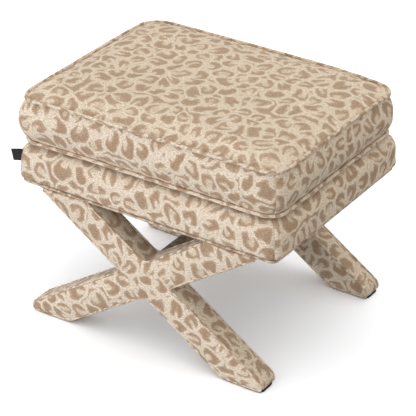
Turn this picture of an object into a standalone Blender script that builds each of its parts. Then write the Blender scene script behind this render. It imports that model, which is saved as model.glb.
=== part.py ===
"""Upholstered X-leg stool with a loose box cushion.

Metres, +Z up. The origin is on the floor under the middle of the stool, X runs along
the long side and the front faces -Y.
"""

import math

import bmesh
import bpy
from mathutils import Vector

# Cloth, piping and fits
FABRIC = 0.0012
GAP = 0.0003
SEAM_GAP = 0.0008
GROOVE_SLACK = 0.0001
LEAST_ROUND = 0.001
PIPING_RADIUS = 0.00275
LEG_PIPING_RADIUS = 0.0025

# Cushion: made to the base's outline, a little longer and a little less deep
CUSHION_END_OVERHANG = 0.0015
CUSHION_SIDE_SETBACK = 0.0025
CUSHION_CORNER = 0.034
CUSHION_BAND = 0.095
CUSHION_DRAW_IN = 0.006
CUSHION_BULGE = 0.008
CUSHION_CROWN = 0.016
FIBRE_EDGE = 0.0012

# Zip in the cushion's rear boxing
ZIP_END_MARGIN = 0.0815
ZIP_TAPE_WIDTH = 0.025
ZIP_TAPE = 0.0008
ZIP_COIL_WIDTH = 0.005
ZIP_COIL = 0.0022
ZIP_SLOT_CLEARANCE = 0.001
SLIDER_LENGTH = 0.010
SLIDER_WALL = 0.0014

# Base box: its outline is measured over the piping
BASE_WIDTH = 0.600
BASE_DEPTH = 0.462
BASE_CORNER = 0.032
BASE_BULGE = 0.011
BASE_PADDING = 0.009
BASE_EDGE_ROLL = 0.020
COVER_BORDER = 0.052
HEM_MARGIN = 0.001
RAIL_HEIGHT = 0.066
RAIL_THICKNESS = 0.018
DECK_THICKNESS = 0.012
TOP_FOAM = 0.010
CLEAT_WIDTH = 0.044
CLEAT_HEIGHT = 0.030
DUST_CLOTH = 0.0006
DUST_MARGIN = 0.006

# Crossed leg frames
LEG_TOP = 0.3006
LEG_DEPTH = 0.050
LEG_WIDTH = 0.069
LEG_SETBACK = 0.002
LEG_EDGE = 0.007
CROSSING_HEIGHT = 0.170
LEFT_ARM_INSET = 0.0449
RIGHT_ARM_INSET = 0.0358
CROTCH_ROUND = 0.020
SIDE_CROTCH_ROUND = 0.002
NOSE_TOP = 0.0235
NOSE_ROUND = 0.006
HEEL_ROUND = 0.006
LEG_WADDING = 0.0040
WADDING_INNER_ROUND = 0.0004
PAD_THICKNESS = 0.0035
PAD_MARGIN = 0.007

# Stretcher between the two crossings
STRETCHER_WIDTH = 0.050
STRETCHER_HEIGHT = 0.043
STRETCHER_DROP = 0.004
STRETCHER_ROUND = 0.008

# Fixings
FIXING_CLEARANCE = 0.0005
LEG_BOLT_RADIUS = 0.004
LEG_BOLT_MARGIN = 0.020
LEG_BOLT_EDGE = 0.005
LEG_BOLT_DEPTH = 0.026
LEG_BOLT_SETBACK = 0.010
LEG_BOLT_FLANGE_RADIUS = 0.009
LEG_BOLT_FLANGE = 0.002
LEG_BOLT_HEAD_RADIUS = 0.0065
LEG_BOLT_HEAD = 0.006
STRETCHER_BOLT_RADIUS = 0.0038
STRETCHER_BOLT_HEAD_RADIUS = 0.008
STRETCHER_BOLT_HEAD = 0.003
STRETCHER_BOLT_REACH = 0.040

# Blank woven tag in the front left corner seam
TAG_REACH = 0.0215
TAG_HEIGHT = 0.029
TAG_THICKNESS = 0.0016
TAG_RISE = 0.046

# How far a cutter runs past what it cuts
CUT_REACH = 0.02
CORNER_STEPS = 6
FRONT = -1
REAR = 1

for old in list(bpy.data.objects):
    bpy.data.objects.remove(old)


def new_collection(name):
    collection = bpy.data.collections.new(name)
    bpy.context.scene.collection.children.link(collection)
    return collection


parts = new_collection("upholstered_stool")
cutters = new_collection("cutters")
cutters.hide_render = True


def new_material(name, colour, roughness, metallic=0.0):
    material = bpy.data.materials.new(name)
    material.use_nodes = True
    shader = material.node_tree.nodes["Principled BSDF"]
    shader.inputs["Base Color"].default_value = (*colour, 1.0)
    shader.inputs["Roughness"].default_value = roughness
    shader.inputs["Metallic"].default_value = metallic
    return material


LEOPARD = new_material("leopard_chenille", (0.60, 0.49, 0.38), 0.95)
LINING = new_material("platform_lining", (0.62, 0.56, 0.46), 0.90)
DUST = new_material("black_nonwoven", (0.015, 0.015, 0.015), 0.95)
FOAM = new_material("seat_foam", (0.80, 0.76, 0.55), 0.90)
FIBRE = new_material("polyester_fibre", (0.86, 0.86, 0.84), 0.95)
SOFTWOOD = new_material("softwood", (0.62, 0.44, 0.25), 0.65)
HARDWOOD = new_material("beech", (0.56, 0.36, 0.19), 0.55)
PLYWOOD = new_material("plywood", (0.64, 0.48, 0.29), 0.60)
STEEL = new_material("zinc_plated_steel", (0.62, 0.62, 0.62), 0.35, 1.0)
PAD = new_material("black_felt_pad", (0.01, 0.01, 0.01), 0.90)
TAG = new_material("black_woven_tag", (0.01, 0.01, 0.01), 0.80)
ZIP = new_material("zip_tape", (0.55, 0.45, 0.34), 0.80)
COIL = new_material("nylon_coil", (0.50, 0.40, 0.30), 0.45)


def add_mesh(name, bm, material, collection=parts):
    """Turn a bmesh into an object, shaded smooth up to 40 degrees."""
    mesh = bpy.data.meshes.new(name)
    bm.to_mesh(mesh)
    bm.free()
    mesh.shade_smooth()
    mesh.set_sharp_from_angle(angle=math.radians(40))
    item = bpy.data.objects.new(name, mesh)
    collection.objects.link(item)
    if material:
        mesh.materials.append(material)
    if collection is cutters:
        item.hide_render = True
        item.display_type = "WIRE"
    return item


def rounded(corners, steps=CORNER_STEPS):
    """Outline through (x, y, radius) corners, each with a radius drawn as an arc."""
    points = []
    for index, (x, y, radius) in enumerate(corners):
        corner = Vector((x, y))
        if radius <= 0:
            points.append(corner)
            continue
        back = (Vector(corners[index - 1][:2]) - corner).normalized()
        ahead = (Vector(corners[(index + 1) % len(corners)][:2]) - corner).normalized()
        half = back.angle(ahead) / 2
        centre = corner + (back + ahead).normalized() * radius / math.sin(half)
        start = corner + back * radius / math.tan(half) - centre
        end = corner + ahead * radius / math.tan(half) - centre
        first = math.atan2(start.y, start.x)
        turn = (math.atan2(end.y, end.x) - first + math.pi) % math.tau - math.pi
        for step in range(steps + 1):
            angle = first + turn * step / steps
            points.append(centre + radius * Vector((math.cos(angle), math.sin(angle))))
    return points


def circle(x, y, radius, sides=12):
    turns = [math.tau * side / sides for side in range(sides)]
    return [Vector((x + radius * math.cos(a), y + radius * math.sin(a))) for a in turns]


def plan_ring(half_x, half_y, corner, z):
    """Rounded rectangle seen from above, anticlockwise from the front right corner."""
    outline = rounded(
        [
            (half_x, -half_y, corner),
            (half_x, half_y, corner),
            (-half_x, half_y, corner),
            (-half_x, -half_y, corner),
        ]
    )
    return [Vector((p.x, p.y, z)) for p in outline]


def profile_rings(width, depth, corner, profile):
    """One plan ring for each (offset, z) point of a side profile."""
    return [
        plan_ring(width / 2 + offset, depth / 2 + offset, max(corner + offset, LEAST_ROUND), z)
        for offset, z in profile
    ]


def loft(name, rings, material, ends=(), around=True, loop=False, collection=parts):
    """Skin over rings of equal length, with flat ends at "start" and "end"."""
    bm = bmesh.new()
    rows = [[bm.verts.new(p) for p in ring] for ring in rings]
    spans = list(zip(rows, rows[1:]))
    if loop:
        spans.append((rows[-1], rows[0]))
    count = len(rings[0])
    for low, high in spans:
        for j in range(count if around else count - 1):
            k = (j + 1) % count
            bm.faces.new((low[j], low[k], high[k], high[j]))
    if "start" in ends:
        bm.faces.new(list(reversed(rows[0])))
    if "end" in ends:
        bm.faces.new(rows[-1])
    if loop or len(ends) == 2:
        bmesh.ops.recalc_face_normals(bm, faces=bm.faces)
    return add_mesh(name, bm, material, collection)


def thicken(item, thickness):
    """Give a skin its thickness on its inner side."""
    solidify = item.modifiers.new("thickness", "SOLIDIFY")
    solidify.thickness = thickness
    solidify.offset = -1
    solidify.use_even_offset = True
    return item


def cut(item, cutter, operation="DIFFERENCE"):
    boolean = item.modifiers.new("cut", "BOOLEAN")
    boolean.operation = operation
    boolean.solver = "EXACT"
    boolean.object = cutter
    return item


def box(name, low, high, material, collection=parts):
    bm = bmesh.new()
    bmesh.ops.create_cube(bm, size=1)
    size = Vector(high) - Vector(low)
    bmesh.ops.scale(bm, vec=size, verts=bm.verts)
    item = add_mesh(name, bm, material, collection)
    item.location = (Vector(high) + Vector(low)) / 2
    return item


def as_mesh(curve, name, material, collection):
    """Swap a curve object for a mesh with its caps welded and its placing baked in."""
    bpy.context.view_layer.update()
    evaluated = curve.evaluated_get(bpy.context.evaluated_depsgraph_get())
    mesh = bpy.data.meshes.new_from_object(evaluated)
    bm = bmesh.new()
    bm.from_mesh(mesh)
    bmesh.ops.transform(bm, matrix=curve.matrix_world, verts=bm.verts)
    bmesh.ops.remove_doubles(bm, verts=bm.verts, dist=0.00001)
    bmesh.ops.recalc_face_normals(bm, faces=bm.faces)
    bpy.data.meshes.remove(mesh)
    bpy.data.objects.remove(curve)
    return add_mesh(name, bm, material, collection)


def extruded(name, outlines, low, high, material, axis="Z", collection=parts):
    """Flat outlines drawn in plan (axis Z) or in front view (axis Y), given a depth."""
    curve = bpy.data.curves.new(name + "_outline", "CURVE")
    curve.dimensions = "2D"
    curve.fill_mode = "BOTH"
    curve.extrude = abs(high - low) / 2
    for outline in outlines:
        spline = curve.splines.new("POLY")
        spline.points.add(len(outline) - 1)
        for point, place in zip(spline.points, outline):
            point.co = (place.x, place.y, 0, 1)
        spline.use_cyclic_u = True
    item = bpy.data.objects.new(name + "_outline", curve)
    cutters.objects.link(item)
    middle = (low + high) / 2
    if axis == "Y":
        item.rotation_euler.x = math.radians(90)
        item.location.y = middle
    else:
        item.location.z = middle
    return as_mesh(item, name, material, collection)


def tube(name, runs, radius, material):
    """Piping along one or more runs of points; a run is (points, closed)."""
    curve = bpy.data.curves.new(name, "CURVE")
    curve.dimensions = "3D"
    curve.bevel_depth = radius
    curve.bevel_resolution = 1
    curve.use_fill_caps = True
    for points, closed in runs:
        spline = curve.splines.new("POLY")
        spline.points.add(len(points) - 1)
        for point, place in zip(spline.points, points):
            point.co = (*place, 1)
        spline.use_cyclic_u = closed
    item = bpy.data.objects.new(name, curve)
    parts.objects.link(item)
    curve.materials.append(material)
    return item


def turned(name, profile, place, direction, material):
    """Turn a (radius, height) profile, listed top to bottom, about its own axis."""
    bm = bmesh.new()
    verts = [bm.verts.new((radius, 0, height)) for radius, height in profile]
    for first, second in zip(verts, verts[1:]):
        bm.edges.new((first, second))
    item = add_mesh(name, bm, material)
    screw = item.modifiers.new("turn", "SCREW")
    screw.steps = 12
    screw.render_steps = 12
    screw.use_merge_vertices = True
    screw.merge_threshold = 0.00001
    item.location = place
    item.rotation_euler = Vector(direction).to_track_quat("Z", "Y").to_euler()
    return item


def inward(profile, distance):
    """Move an open (offset, z) profile to its inner side by a distance."""
    moved = []
    for index, (x, z) in enumerate(profile):
        before = Vector(profile[max(index - 1, 0)])
        after = Vector(profile[min(index + 1, len(profile) - 1)])
        here = Vector((x, z))
        normals = []
        for a, b in ((before, here), (here, after)):
            if (b - a).length > 0:
                along = (b - a).normalized()
                normals.append(Vector((-along.y, along.x)))
        normal = sum(normals, Vector((0, 0))).normalized()
        spread = normal.dot(normals[0])
        moved.append(tuple(here + normal * distance / spread))
    return moved


def below(profile, height):
    """The part of a rising profile under a height, ending exactly there."""
    kept = [p for p in profile if p[1] < height]
    (x1, z1), (x2, z2) = kept[-1], profile[len(kept)]
    share = (height - z1) / (z2 - z1)
    return kept + [(x1 + (x2 - x1) * share, height)]


# Heights, worked out from the floor up
hem_bottom = LEG_TOP + GAP
rail_bottom = hem_bottom + FABRIC + GAP
rail_top = rail_bottom + RAIL_HEIGHT
deck_bottom = rail_top + GAP
deck_top = deck_bottom + DECK_THICKNESS
foam_bottom = deck_top + GAP
foam_top = foam_bottom + TOP_FOAM
base_top = foam_top + GAP + FABRIC
base_welt = hem_bottom + PIPING_RADIUS
cushion_bottom = base_top + GAP
bottom_welt = cushion_bottom + PIPING_RADIUS
top_welt = bottom_welt + CUSHION_BAND
tag_bottom = hem_bottom + TAG_RISE
foot_height = PAD_THICKNESS + GAP
stretcher_middle = CROSSING_HEIGHT - STRETCHER_DROP

# Places in plan, most of them as offsets from the outline over the piping
cushion_width = BASE_WIDTH + 2 * CUSHION_END_OVERHANG
cushion_depth = BASE_DEPTH - 2 * CUSHION_SIDE_SETBACK
zip_length = cushion_width - 2 * ZIP_END_MARGIN
groove = PIPING_RADIUS + GAP
hem_end = -BASE_PADDING - RAIL_THICKNESS + HEM_MARGIN
rail_half_x = BASE_WIDTH / 2 - BASE_PADDING
rail_half_y = BASE_DEPTH / 2 - BASE_PADDING
rail_corner = BASE_CORNER - BASE_PADDING
frame_face = BASE_DEPTH / 2 - LEG_SETBACK
timber_inset = FABRIC + GAP + LEG_WADDING + GAP


def round_piping(welt, first, last, steps=3):
    """Profile points that pass the piping at its inner side; angles in degrees."""
    points = []
    for step in range(steps + 1):
        angle = math.radians(first + (last - first) * step / steps)
        reach = (groove + GROOVE_SLACK) / math.cos(math.radians((first - last) / steps / 2))
        points.append((-PIPING_RADIUS + reach * math.cos(angle), welt + reach * math.sin(angle)))
    return points


def base_profile():
    """Outer side of the base cover, from its turned hem up to the border on top."""
    low = base_welt + groove
    high = base_top - BASE_EDGE_ROLL
    points = [(hem_end, hem_bottom), (-2 * PIPING_RADIUS - FABRIC, hem_bottom)]
    points += round_piping(base_welt, 180, 90)
    for share in (0.10, 0.25, 0.50, 0.80, 1.0):
        bulge = 1 - abs(1 - min(share / 0.5, 1)) ** 3
        side = -PIPING_RADIUS + (PIPING_RADIUS + BASE_BULGE) * bulge
        points.append((side, low + (high - low) * share))
    for degrees in (30, 60, 90):
        angle = math.radians(degrees)
        side = BASE_BULGE - BASE_EDGE_ROLL * (1 - math.cos(angle))
        points.append((side, high + BASE_EDGE_ROLL * math.sin(angle)))
    points.append((-COVER_BORDER, base_top))
    return points


def cushion_profile():
    """Outer side of the cushion's boxing between its two pipings."""
    low = bottom_welt + groove + GROOVE_SLACK
    high = top_welt - groove - GROOVE_SLACK
    points = []
    for share in (0.0, 0.07, 0.18, 0.35, 0.65, 0.82, 0.93, 1.0):
        bulge = CUSHION_BULGE * (1 - abs(2 * share - 1) ** 2.5)
        drawn = -CUSHION_DRAW_IN * (1 - share)
        points.append((drawn - PIPING_RADIUS + bulge, low + (high - low) * share))
    return points


def seam_strip(rings, corner):
    """The part of each ring from one corner's middle to the next, less half a seam gap."""
    start = corner * (CORNER_STEPS + 1) + CORNER_STEPS // 2
    strips = []
    for ring in rings:
        strip = [ring[(start + k) % len(ring)].copy() for k in range(CORNER_STEPS + 2)]
        strip[0] += (strip[1] - strip[0]).normalized() * SEAM_GAP / 2
        strip[-1] += (strip[-2] - strip[-1]).normalized() * SEAM_GAP / 2
        strips.append(strip)
    return strips


def piping_ring(name, width, depth, corner, inset, welt):
    half_x = width / 2 - inset - PIPING_RADIUS
    half_y = depth / 2 - inset - PIPING_RADIUS
    ring = plan_ring(half_x, half_y, corner - inset - PIPING_RADIUS, welt)
    return tube(name, [(ring, True)], PIPING_RADIUS, LEOPARD)


SIDES = ("right", "rear", "left", "front")


def make_cushion():
    """Loose box cushion: foam, crowned fibre, cover panels, boxing strips and piping."""
    profile = cushion_profile()
    rings = profile_rings(cushion_width, cushion_depth, CUSHION_CORNER, profile)
    bands = {}
    for corner, side in enumerate(SIDES):
        name = "cushion_zip_band" if side == "rear" else f"cushion_band_{side}"
        bands[side] = thicken(loft(name, seam_strip(rings, corner), LEOPARD, around=False), FABRIC)

    edge = -PIPING_RADIUS - groove
    shape = (cushion_width, cushion_depth, CUSHION_CORNER)

    def crown_rings(extra_inset, drop, crown):
        made = []
        for share in (1.0, 0.985, 0.95, 0.88, 0.76, 0.58, 0.32):
            half_x = (cushion_width / 2 + edge - extra_inset) * share
            half_y = (cushion_depth / 2 + edge - extra_inset) * share
            rise = crown * (1 - share**4) ** 0.6
            corner = (CUSHION_CORNER + edge - extra_inset) * share
            made.append(plan_ring(half_x, half_y, corner, top_welt + rise - drop))
        return made

    top = loft("cushion_top_panel", crown_rings(0, 0, CUSHION_CROWN), LEOPARD, ends=("end",))
    thicken(top, FABRIC)

    bottom_edge = edge - CUSHION_DRAW_IN
    panel_top = cushion_bottom + FABRIC
    outline = profile_rings(*shape, [(bottom_edge, cushion_bottom)])[0]
    extruded("cushion_bottom_panel", [outline], cushion_bottom, panel_top, LEOPARD)

    fibre_bottom = top_welt - FABRIC - GAP - FIBRE_EDGE
    upper = crown_rings(GAP + FABRIC, FABRIC + 2 * GAP, CUSHION_CROWN)
    lower = [Vector((p.x, p.y, fibre_bottom)) for p in upper[0]]
    loft("cushion_top_fibre", [lower] + upper, FIBRE, ends=("start", "end"))

    inner = inward(profile, FABRIC + GAP)
    foam_profile = [(bottom_edge - GAP, panel_top + GAP)]
    foam_profile += [(bottom_edge - GAP, inner[0][1])] + inner[1:-1]
    foam_profile += [(edge - GAP, inner[-1][1]), (edge - GAP, fibre_bottom - GAP)]
    foam = loft("cushion_foam", profile_rings(*shape, foam_profile), FOAM, ends=("start", "end"))

    piping_ring("cushion_top_piping", *shape, 0, top_welt)
    piping_ring("cushion_bottom_piping", *shape, CUSHION_DRAW_IN, bottom_welt)
    make_zip(bands["rear"], foam, profile)


def make_zip(band, foam, profile):
    """Coil zip in a slot along the middle of the rear boxing, with its slider closed."""
    face = cushion_depth / 2 + profile[3][0]
    middle = (profile[3][1] + profile[4][1]) / 2
    half = zip_length / 2
    tape_face = face - FABRIC - GAP
    tape_back = tape_face - ZIP_TAPE
    coil_low = tape_face + GAP
    coil_high = coil_low + ZIP_COIL
    tape_half = half + ZIP_TAPE_WIDTH / 2
    coil = ZIP_COIL_WIDTH / 2
    flange = coil + GAP + SLIDER_WALL

    slot = flange + ZIP_SLOT_CLEARANCE
    slot_end = half + SLIDER_WALL
    slot_cutter = box(
        "zip_slot_cutter",
        (-slot_end, face - CUT_REACH, middle - slot),
        (slot_end, face + CUT_REACH, middle + slot),
        None,
        cutters,
    )
    cut(band, slot_cutter)
    room = ZIP_TAPE_WIDTH / 2 + GAP
    recess_cutter = box(
        "zip_recess_cutter",
        (-tape_half - GAP, tape_back - GAP, middle - room),
        (tape_half + GAP, face + CUT_REACH, middle + room),
        None,
        cutters,
    )
    cut(foam, recess_cutter)

    box(
        "zip_tape",
        (-tape_half, tape_back, middle - ZIP_TAPE_WIDTH / 2),
        (tape_half, tape_face, middle + ZIP_TAPE_WIDTH / 2),
        ZIP,
    )
    box("zip_coil", (-half, coil_low, middle - coil), (half, coil_high, middle + coil), COIL)

    left = -half + GAP
    slider = box(
        "zip_slider",
        (left, coil_low + GAP, middle - flange),
        (left + SLIDER_LENGTH, coil_high + GAP + SLIDER_WALL, middle + flange),
        STEEL,
    )
    channel = box(
        "slider_channel_cutter",
        (left - CUT_REACH, coil_low - CUT_REACH, middle - coil - GAP),
        (left + SLIDER_LENGTH + CUT_REACH, coil_high + GAP, middle + coil + GAP),
        None,
        cutters,
    )
    cut(slider, channel)


def make_base_frame():
    """Rails rounded at the corners, leg cleats and deck board."""
    heights = (rail_bottom - CUT_REACH, rail_top + CUT_REACH)
    corner_guide = loft(
        "rail_corner_cutter",
        [plan_ring(rail_half_x, rail_half_y, rail_corner, z) for z in heights],
        None,
        ends=("start", "end"),
        collection=cutters,
    )
    inner_x = rail_half_x - RAIL_THICKNESS
    inner_y = rail_half_y - RAIL_THICKNESS
    for name, side in (("front_rail", FRONT), ("rear_rail", REAR)):
        low_y, high_y = sorted((side * inner_y, side * (rail_half_y + CUT_REACH)))
        rail = box(
            name,
            (-rail_half_x - CUT_REACH, low_y, rail_bottom),
            (rail_half_x + CUT_REACH, high_y, rail_top),
            SOFTWOOD,
        )
        cut(rail, corner_guide, "INTERSECT")
    for name, side in (("left_rail", -1), ("right_rail", 1)):
        low_x, high_x = sorted((side * inner_x, side * (rail_half_x + CUT_REACH)))
        rail = box(
            name,
            (low_x, -inner_y + GAP, rail_bottom),
            (high_x, inner_y - GAP, rail_top),
            SOFTWOOD,
        )
        cut(rail, corner_guide, "INTERSECT")

    cleat_half = BASE_WIDTH / 2 + hem_end - max(BASE_CORNER + hem_end, LEAST_ROUND) - GAP
    cleat_face = inner_y - GAP
    for name, side in (("front_leg_cleat", FRONT), ("rear_leg_cleat", REAR)):
        low_y, high_y = sorted((side * cleat_face, side * (cleat_face - CLEAT_WIDTH)))
        cleat = box(
            name,
            (-cleat_half, low_y, hem_bottom),
            (cleat_half, high_y, hem_bottom + CLEAT_HEIGHT),
            HARDWOOD,
        )
        cut(cleat, leg_bolt_bores)

    loft(
        "deck_board",
        [plan_ring(rail_half_x, rail_half_y, rail_corner, z) for z in (deck_bottom, deck_top)],
        PLYWOOD,
        ends=("start", "end"),
    )


def make_base_cover():
    """Padding, sewn cover panels, platform cloth, piping and dust cover of the base box."""
    profile = base_profile()
    shape = (BASE_WIDTH, BASE_DEPTH, BASE_CORNER)
    rings = profile_rings(*shape, profile)
    for corner, side in enumerate(SIDES):
        strip = seam_strip(rings, corner)
        thicken(loft(f"base_cover_{side}", strip, LEOPARD, around=False), FABRIC)
    piping_ring("base_piping", *shape, 0, base_welt)

    inner = inward(profile, FABRIC + GAP)
    outer = below(inner[5:], deck_top)
    back = -BASE_PADDING + GAP
    wadding = [(back, outer[0][1])] + outer + [(back, deck_top)]
    loft("base_side_wadding", wadding_rings(wadding, back), FIBRE, loop=True)

    border_x = BASE_WIDTH / 2 - COVER_BORDER - GAP
    border_y = BASE_DEPTH / 2 - COVER_BORDER - GAP
    box(
        "platform_cloth",
        (-border_x, -border_y, base_top - FABRIC),
        (border_x, border_y, base_top),
        LINING,
    )
    roll = inner[-3:-1]
    foam_profile = [(roll[0][0] - GAP, foam_bottom), (roll[0][0] - GAP, roll[0][1])]
    foam_profile += [(roll[1][0], foam_top)]
    loft("base_top_foam", profile_rings(*shape, foam_profile), FOAM, ends=("start", "end"))

    leg_inner = BASE_DEPTH / 2 - LEG_SETBACK - LEG_DEPTH
    dust_y = leg_inner - 2 * GAP
    dust_x = BASE_WIDTH / 2 - DUST_MARGIN - 2 * PIPING_RADIUS
    box(
        "dust_cover",
        (-dust_x, -dust_y, hem_bottom - GAP - DUST_CLOTH),
        (dust_x, dust_y, hem_bottom - GAP),
        DUST,
    )


def wadding_rings(profile, back):
    """Rings for the side wadding; its back follows the rails' own corners."""
    rings = []
    for offset, z in profile:
        corner = rail_corner + GAP if offset == back else BASE_CORNER + offset
        rings.append(plan_ring(BASE_WIDTH / 2 + offset, BASE_DEPTH / 2 + offset, corner, z))
    return rings


def make_tag():
    """Blank woven loop that stands out of the base's front left corner seam."""
    side = BASE_BULGE
    inset = (BASE_CORNER + side) * (1 - math.sqrt(0.5))
    root = Vector((-BASE_WIDTH / 2 - side + inset, -BASE_DEPTH / 2 - side + inset, 0))
    outward = Vector((-1, -1, 0)).normalized()
    tag = box(
        "side_tag",
        (0, -TAG_THICKNESS / 2, tag_bottom),
        (TAG_REACH, TAG_THICKNESS / 2, tag_bottom + TAG_HEIGHT),
        TAG,
    )
    tag.rotation_euler.z = math.atan2(outward.y, outward.x)
    centre = root + outward * (GAP + TAG_REACH / 2)
    tag.location = (centre.x, centre.y, tag_bottom + TAG_HEIGHT / 2)


def bar_slope(arm_inset):
    """Slope of a bar whose arm ends under the base, so far in from the base's end."""
    reach = BASE_WIDTH / 2 - arm_inset
    rise = LEG_TOP - CROSSING_HEIGHT
    half = LEG_WIDTH / 2
    return (rise * reach + half * math.sqrt(reach**2 + rise**2 - half**2)) / (reach**2 - half**2)


# Each bar rises from its foot to the arm at the other end of the stool
left_foot_slope = bar_slope(RIGHT_ARM_INSET)
right_foot_slope = bar_slope(LEFT_ARM_INSET)


class Bar:
    """Edges of one bar of an X, for a bar inset by so much from the covered outline."""

    def __init__(self, slope, inset):
        self.slope = slope
        self.half = (LEG_WIDTH / 2 - inset) * math.hypot(1, slope)
        self.low = foot_height + inset
        self.toe = (CROSSING_HEIGHT + LEG_WIDTH / 2 * math.hypot(1, slope) - NOSE_TOP) / slope - inset
        self.toe_top = CROSSING_HEIGHT + self.half - slope * self.toe
        self.heel = (CROSSING_HEIGHT - self.half - self.low) / slope

    def upper_at(self, height):
        """How far out the bar's upper edge is at a height above the crossing."""
        return (height - CROSSING_HEIGHT - self.half) / self.slope

    def lower_at(self, height):
        return (height - CROSSING_HEIGHT + self.half) / self.slope


def crotch(first, second, side):
    """Where the edges of two bars meet beside, above or under the crossing."""
    left, right = first, second
    total = left.slope + right.slope
    if side in ("top", "bottom"):
        sign = 1 if side == "top" else -1
        x = sign * (right.half - left.half) / total
        return x, CROSSING_HEIGHT + left.slope * x + sign * left.half
    sign = 1 if side == "right" else -1
    x = sign * (left.half + right.half) / total
    return x, CROSSING_HEIGHT + left.slope * x - sign * left.half


def x_outline(inset, top):
    """Outline of a whole X in front view, with rounded crotches and blunt toes.

    The left foot's bar rises to the right and the right foot's bar rises to the left.
    """
    left = Bar(left_foot_slope, inset)
    right = Bar(right_foot_slope, inset)
    nose = max(NOSE_ROUND - inset, LEAST_ROUND)
    heel = max(HEEL_ROUND - inset, LEAST_ROUND)
    wide = CROTCH_ROUND + inset
    tight = SIDE_CROTCH_ROUND + inset
    return [
        (*crotch(left, right, "bottom"), wide),
        (right.heel, right.low, heel),
        (right.toe, right.low, nose),
        (right.toe, right.toe_top, nose),
        (*crotch(left, right, "right"), tight),
        (left.lower_at(top), top, 0),
        (left.upper_at(top), top, 0),
        (*crotch(left, right, "top"), wide),
        (-right.upper_at(top), top, 0),
        (-right.lower_at(top), top, 0),
        (*crotch(left, right, "left"), tight),
        (-left.toe, left.toe_top, nose),
        (-left.toe, left.low, nose),
        (-left.heel, left.low, heel),
    ]


def bar_outline(slope, foot, inset, top):
    """Outline of one bar in front view; foot is -1 for the left foot, 1 for the right."""
    bar = Bar(slope, inset)
    nose = max(NOSE_ROUND - inset, LEAST_ROUND)
    corners = [
        (-bar.lower_at(top), top, 0),
        (bar.heel, bar.low, nose),
        (bar.toe, bar.low, nose),
        (bar.toe, bar.toe_top, nose),
        (-bar.upper_at(top), top, 0),
    ]
    if foot < 0:
        corners = [(-x, z, radius) for x, z, radius in reversed(corners)]
    return rounded(corners, 2)


def x_body(name, side, inset, edge, top, material, collection=parts):
    """A covered X: the outline carried through its depth with rounded long edges."""
    depth = LEG_DEPTH - 2 * inset
    soft = edge * (1 - math.sqrt(0.5))
    stations = [(edge, 0), (soft, soft), (0, edge)]
    stations += [(extra, depth - along) for extra, along in reversed(stations)]
    rings = []
    for extra, along in stations:
        y = side * (frame_face - inset - along)
        rings.append([Vector((p.x, y, p.y)) for p in rounded(x_outline(inset + extra, top), 3)])
    return loft(name, rings, material, ends=("start", "end"), collection=collection)


def leg_bolt_places():
    """Two bolt centres over each arm of both X frames, in plan."""
    places = []
    for side in (FRONT, REAR):
        y = side * (rail_half_y - RAIL_THICKNESS - LEG_BOLT_SETBACK)
        for slope, foot in ((left_foot_slope, -1), (right_foot_slope, 1)):
            arm = Bar(slope, timber_inset)
            near = arm.upper_at(LEG_TOP) + LEG_BOLT_MARGIN
            far = arm.lower_at(LEG_TOP - LEG_BOLT_DEPTH) - LEG_BOLT_RADIUS - LEG_BOLT_EDGE
            places += [(-foot * near, y), (-foot * far, y)]
    return places


def make_leg_frame(name, side):
    """One X: two half-lapped bars, wadding, cover, and piping on both faces."""
    outer = side * (frame_face - timber_inset)
    inner = side * (frame_face - LEG_DEPTH + timber_inset)
    middle = side * (frame_face - LEG_DEPTH / 2)
    spare = LEG_TOP + CUT_REACH

    bars = (
        ("left_foot_bar", left_foot_slope, -1, right_foot_slope, inner),
        ("right_foot_bar", right_foot_slope, 1, left_foot_slope, outer),
    )
    for bar_name, slope, foot, other_slope, notched in bars:
        outline = bar_outline(slope, foot, timber_inset, LEG_TOP)
        bar = extruded(f"{name}_{bar_name}", [outline], outer, inner, HARDWOOD, "Y")
        away = 1 if notched > middle else -1
        notch = extruded(
            f"{name}_{bar_name}_lap_cutter",
            [bar_outline(other_slope, -foot, timber_inset - GAP, spare)],
            middle - away * GAP / 2,
            notched + away * CUT_REACH,
            None,
            "Y",
            cutters,
        )
        cut(bar, notch)
        cut(bar, leg_bolt_bores)
        cut(bar, bolt_bores)

    under_cloth = FABRIC + GAP
    for label, inset, edge, hollow, hollow_edge, material in (
        ("cover", 0, LEG_EDGE, FABRIC, LEG_EDGE - FABRIC, LEOPARD),
        (
            "wadding",
            under_cloth,
            LEG_EDGE - under_cloth,
            timber_inset - GAP,
            WADDING_INNER_ROUND,
            FIBRE,
        ),
    ):
        shell = x_body(f"{name}_{label}", side, inset, edge, LEG_TOP, material)
        core = x_body(f"{name}_{label}_cutter", side, hollow, hollow_edge, spare, None, cutters)
        cut(shell, core)
        cut(shell, bolt_bores)

    piping_top = LEG_TOP - LEG_PIPING_RADIUS - GAP
    corners = x_outline(-edge_piping_offset(), piping_top)
    lower_run = corners[9:] + corners[:6]
    upper_run = corners[6:9]
    y = side * (frame_face + edge_piping_offset())
    for label, run in (("lower", lower_run), ("upper", upper_run)):
        line = [Vector((p.x, y, p.y)) for p in open_rounded(run)]
        tube(f"{name}_{label}_piping", [(line, False)], LEG_PIPING_RADIUS, LEOPARD)

    for slope, foot, label in ((left_foot_slope, -1, "left"), (right_foot_slope, 1, "right")):
        arm = Bar(slope, 0)
        low_x, high_x = sorted((foot * (arm.heel + PAD_MARGIN), foot * (arm.toe - PAD_MARGIN)))
        low_y, high_y = sorted(
            (side * (frame_face - PAD_MARGIN), side * (frame_face - LEG_DEPTH + PAD_MARGIN))
        )
        box(f"{name[:-4]}_{label}_foot_pad", (low_x, low_y, 0), (high_x, high_y, PAD_THICKNESS), PAD)


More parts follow.
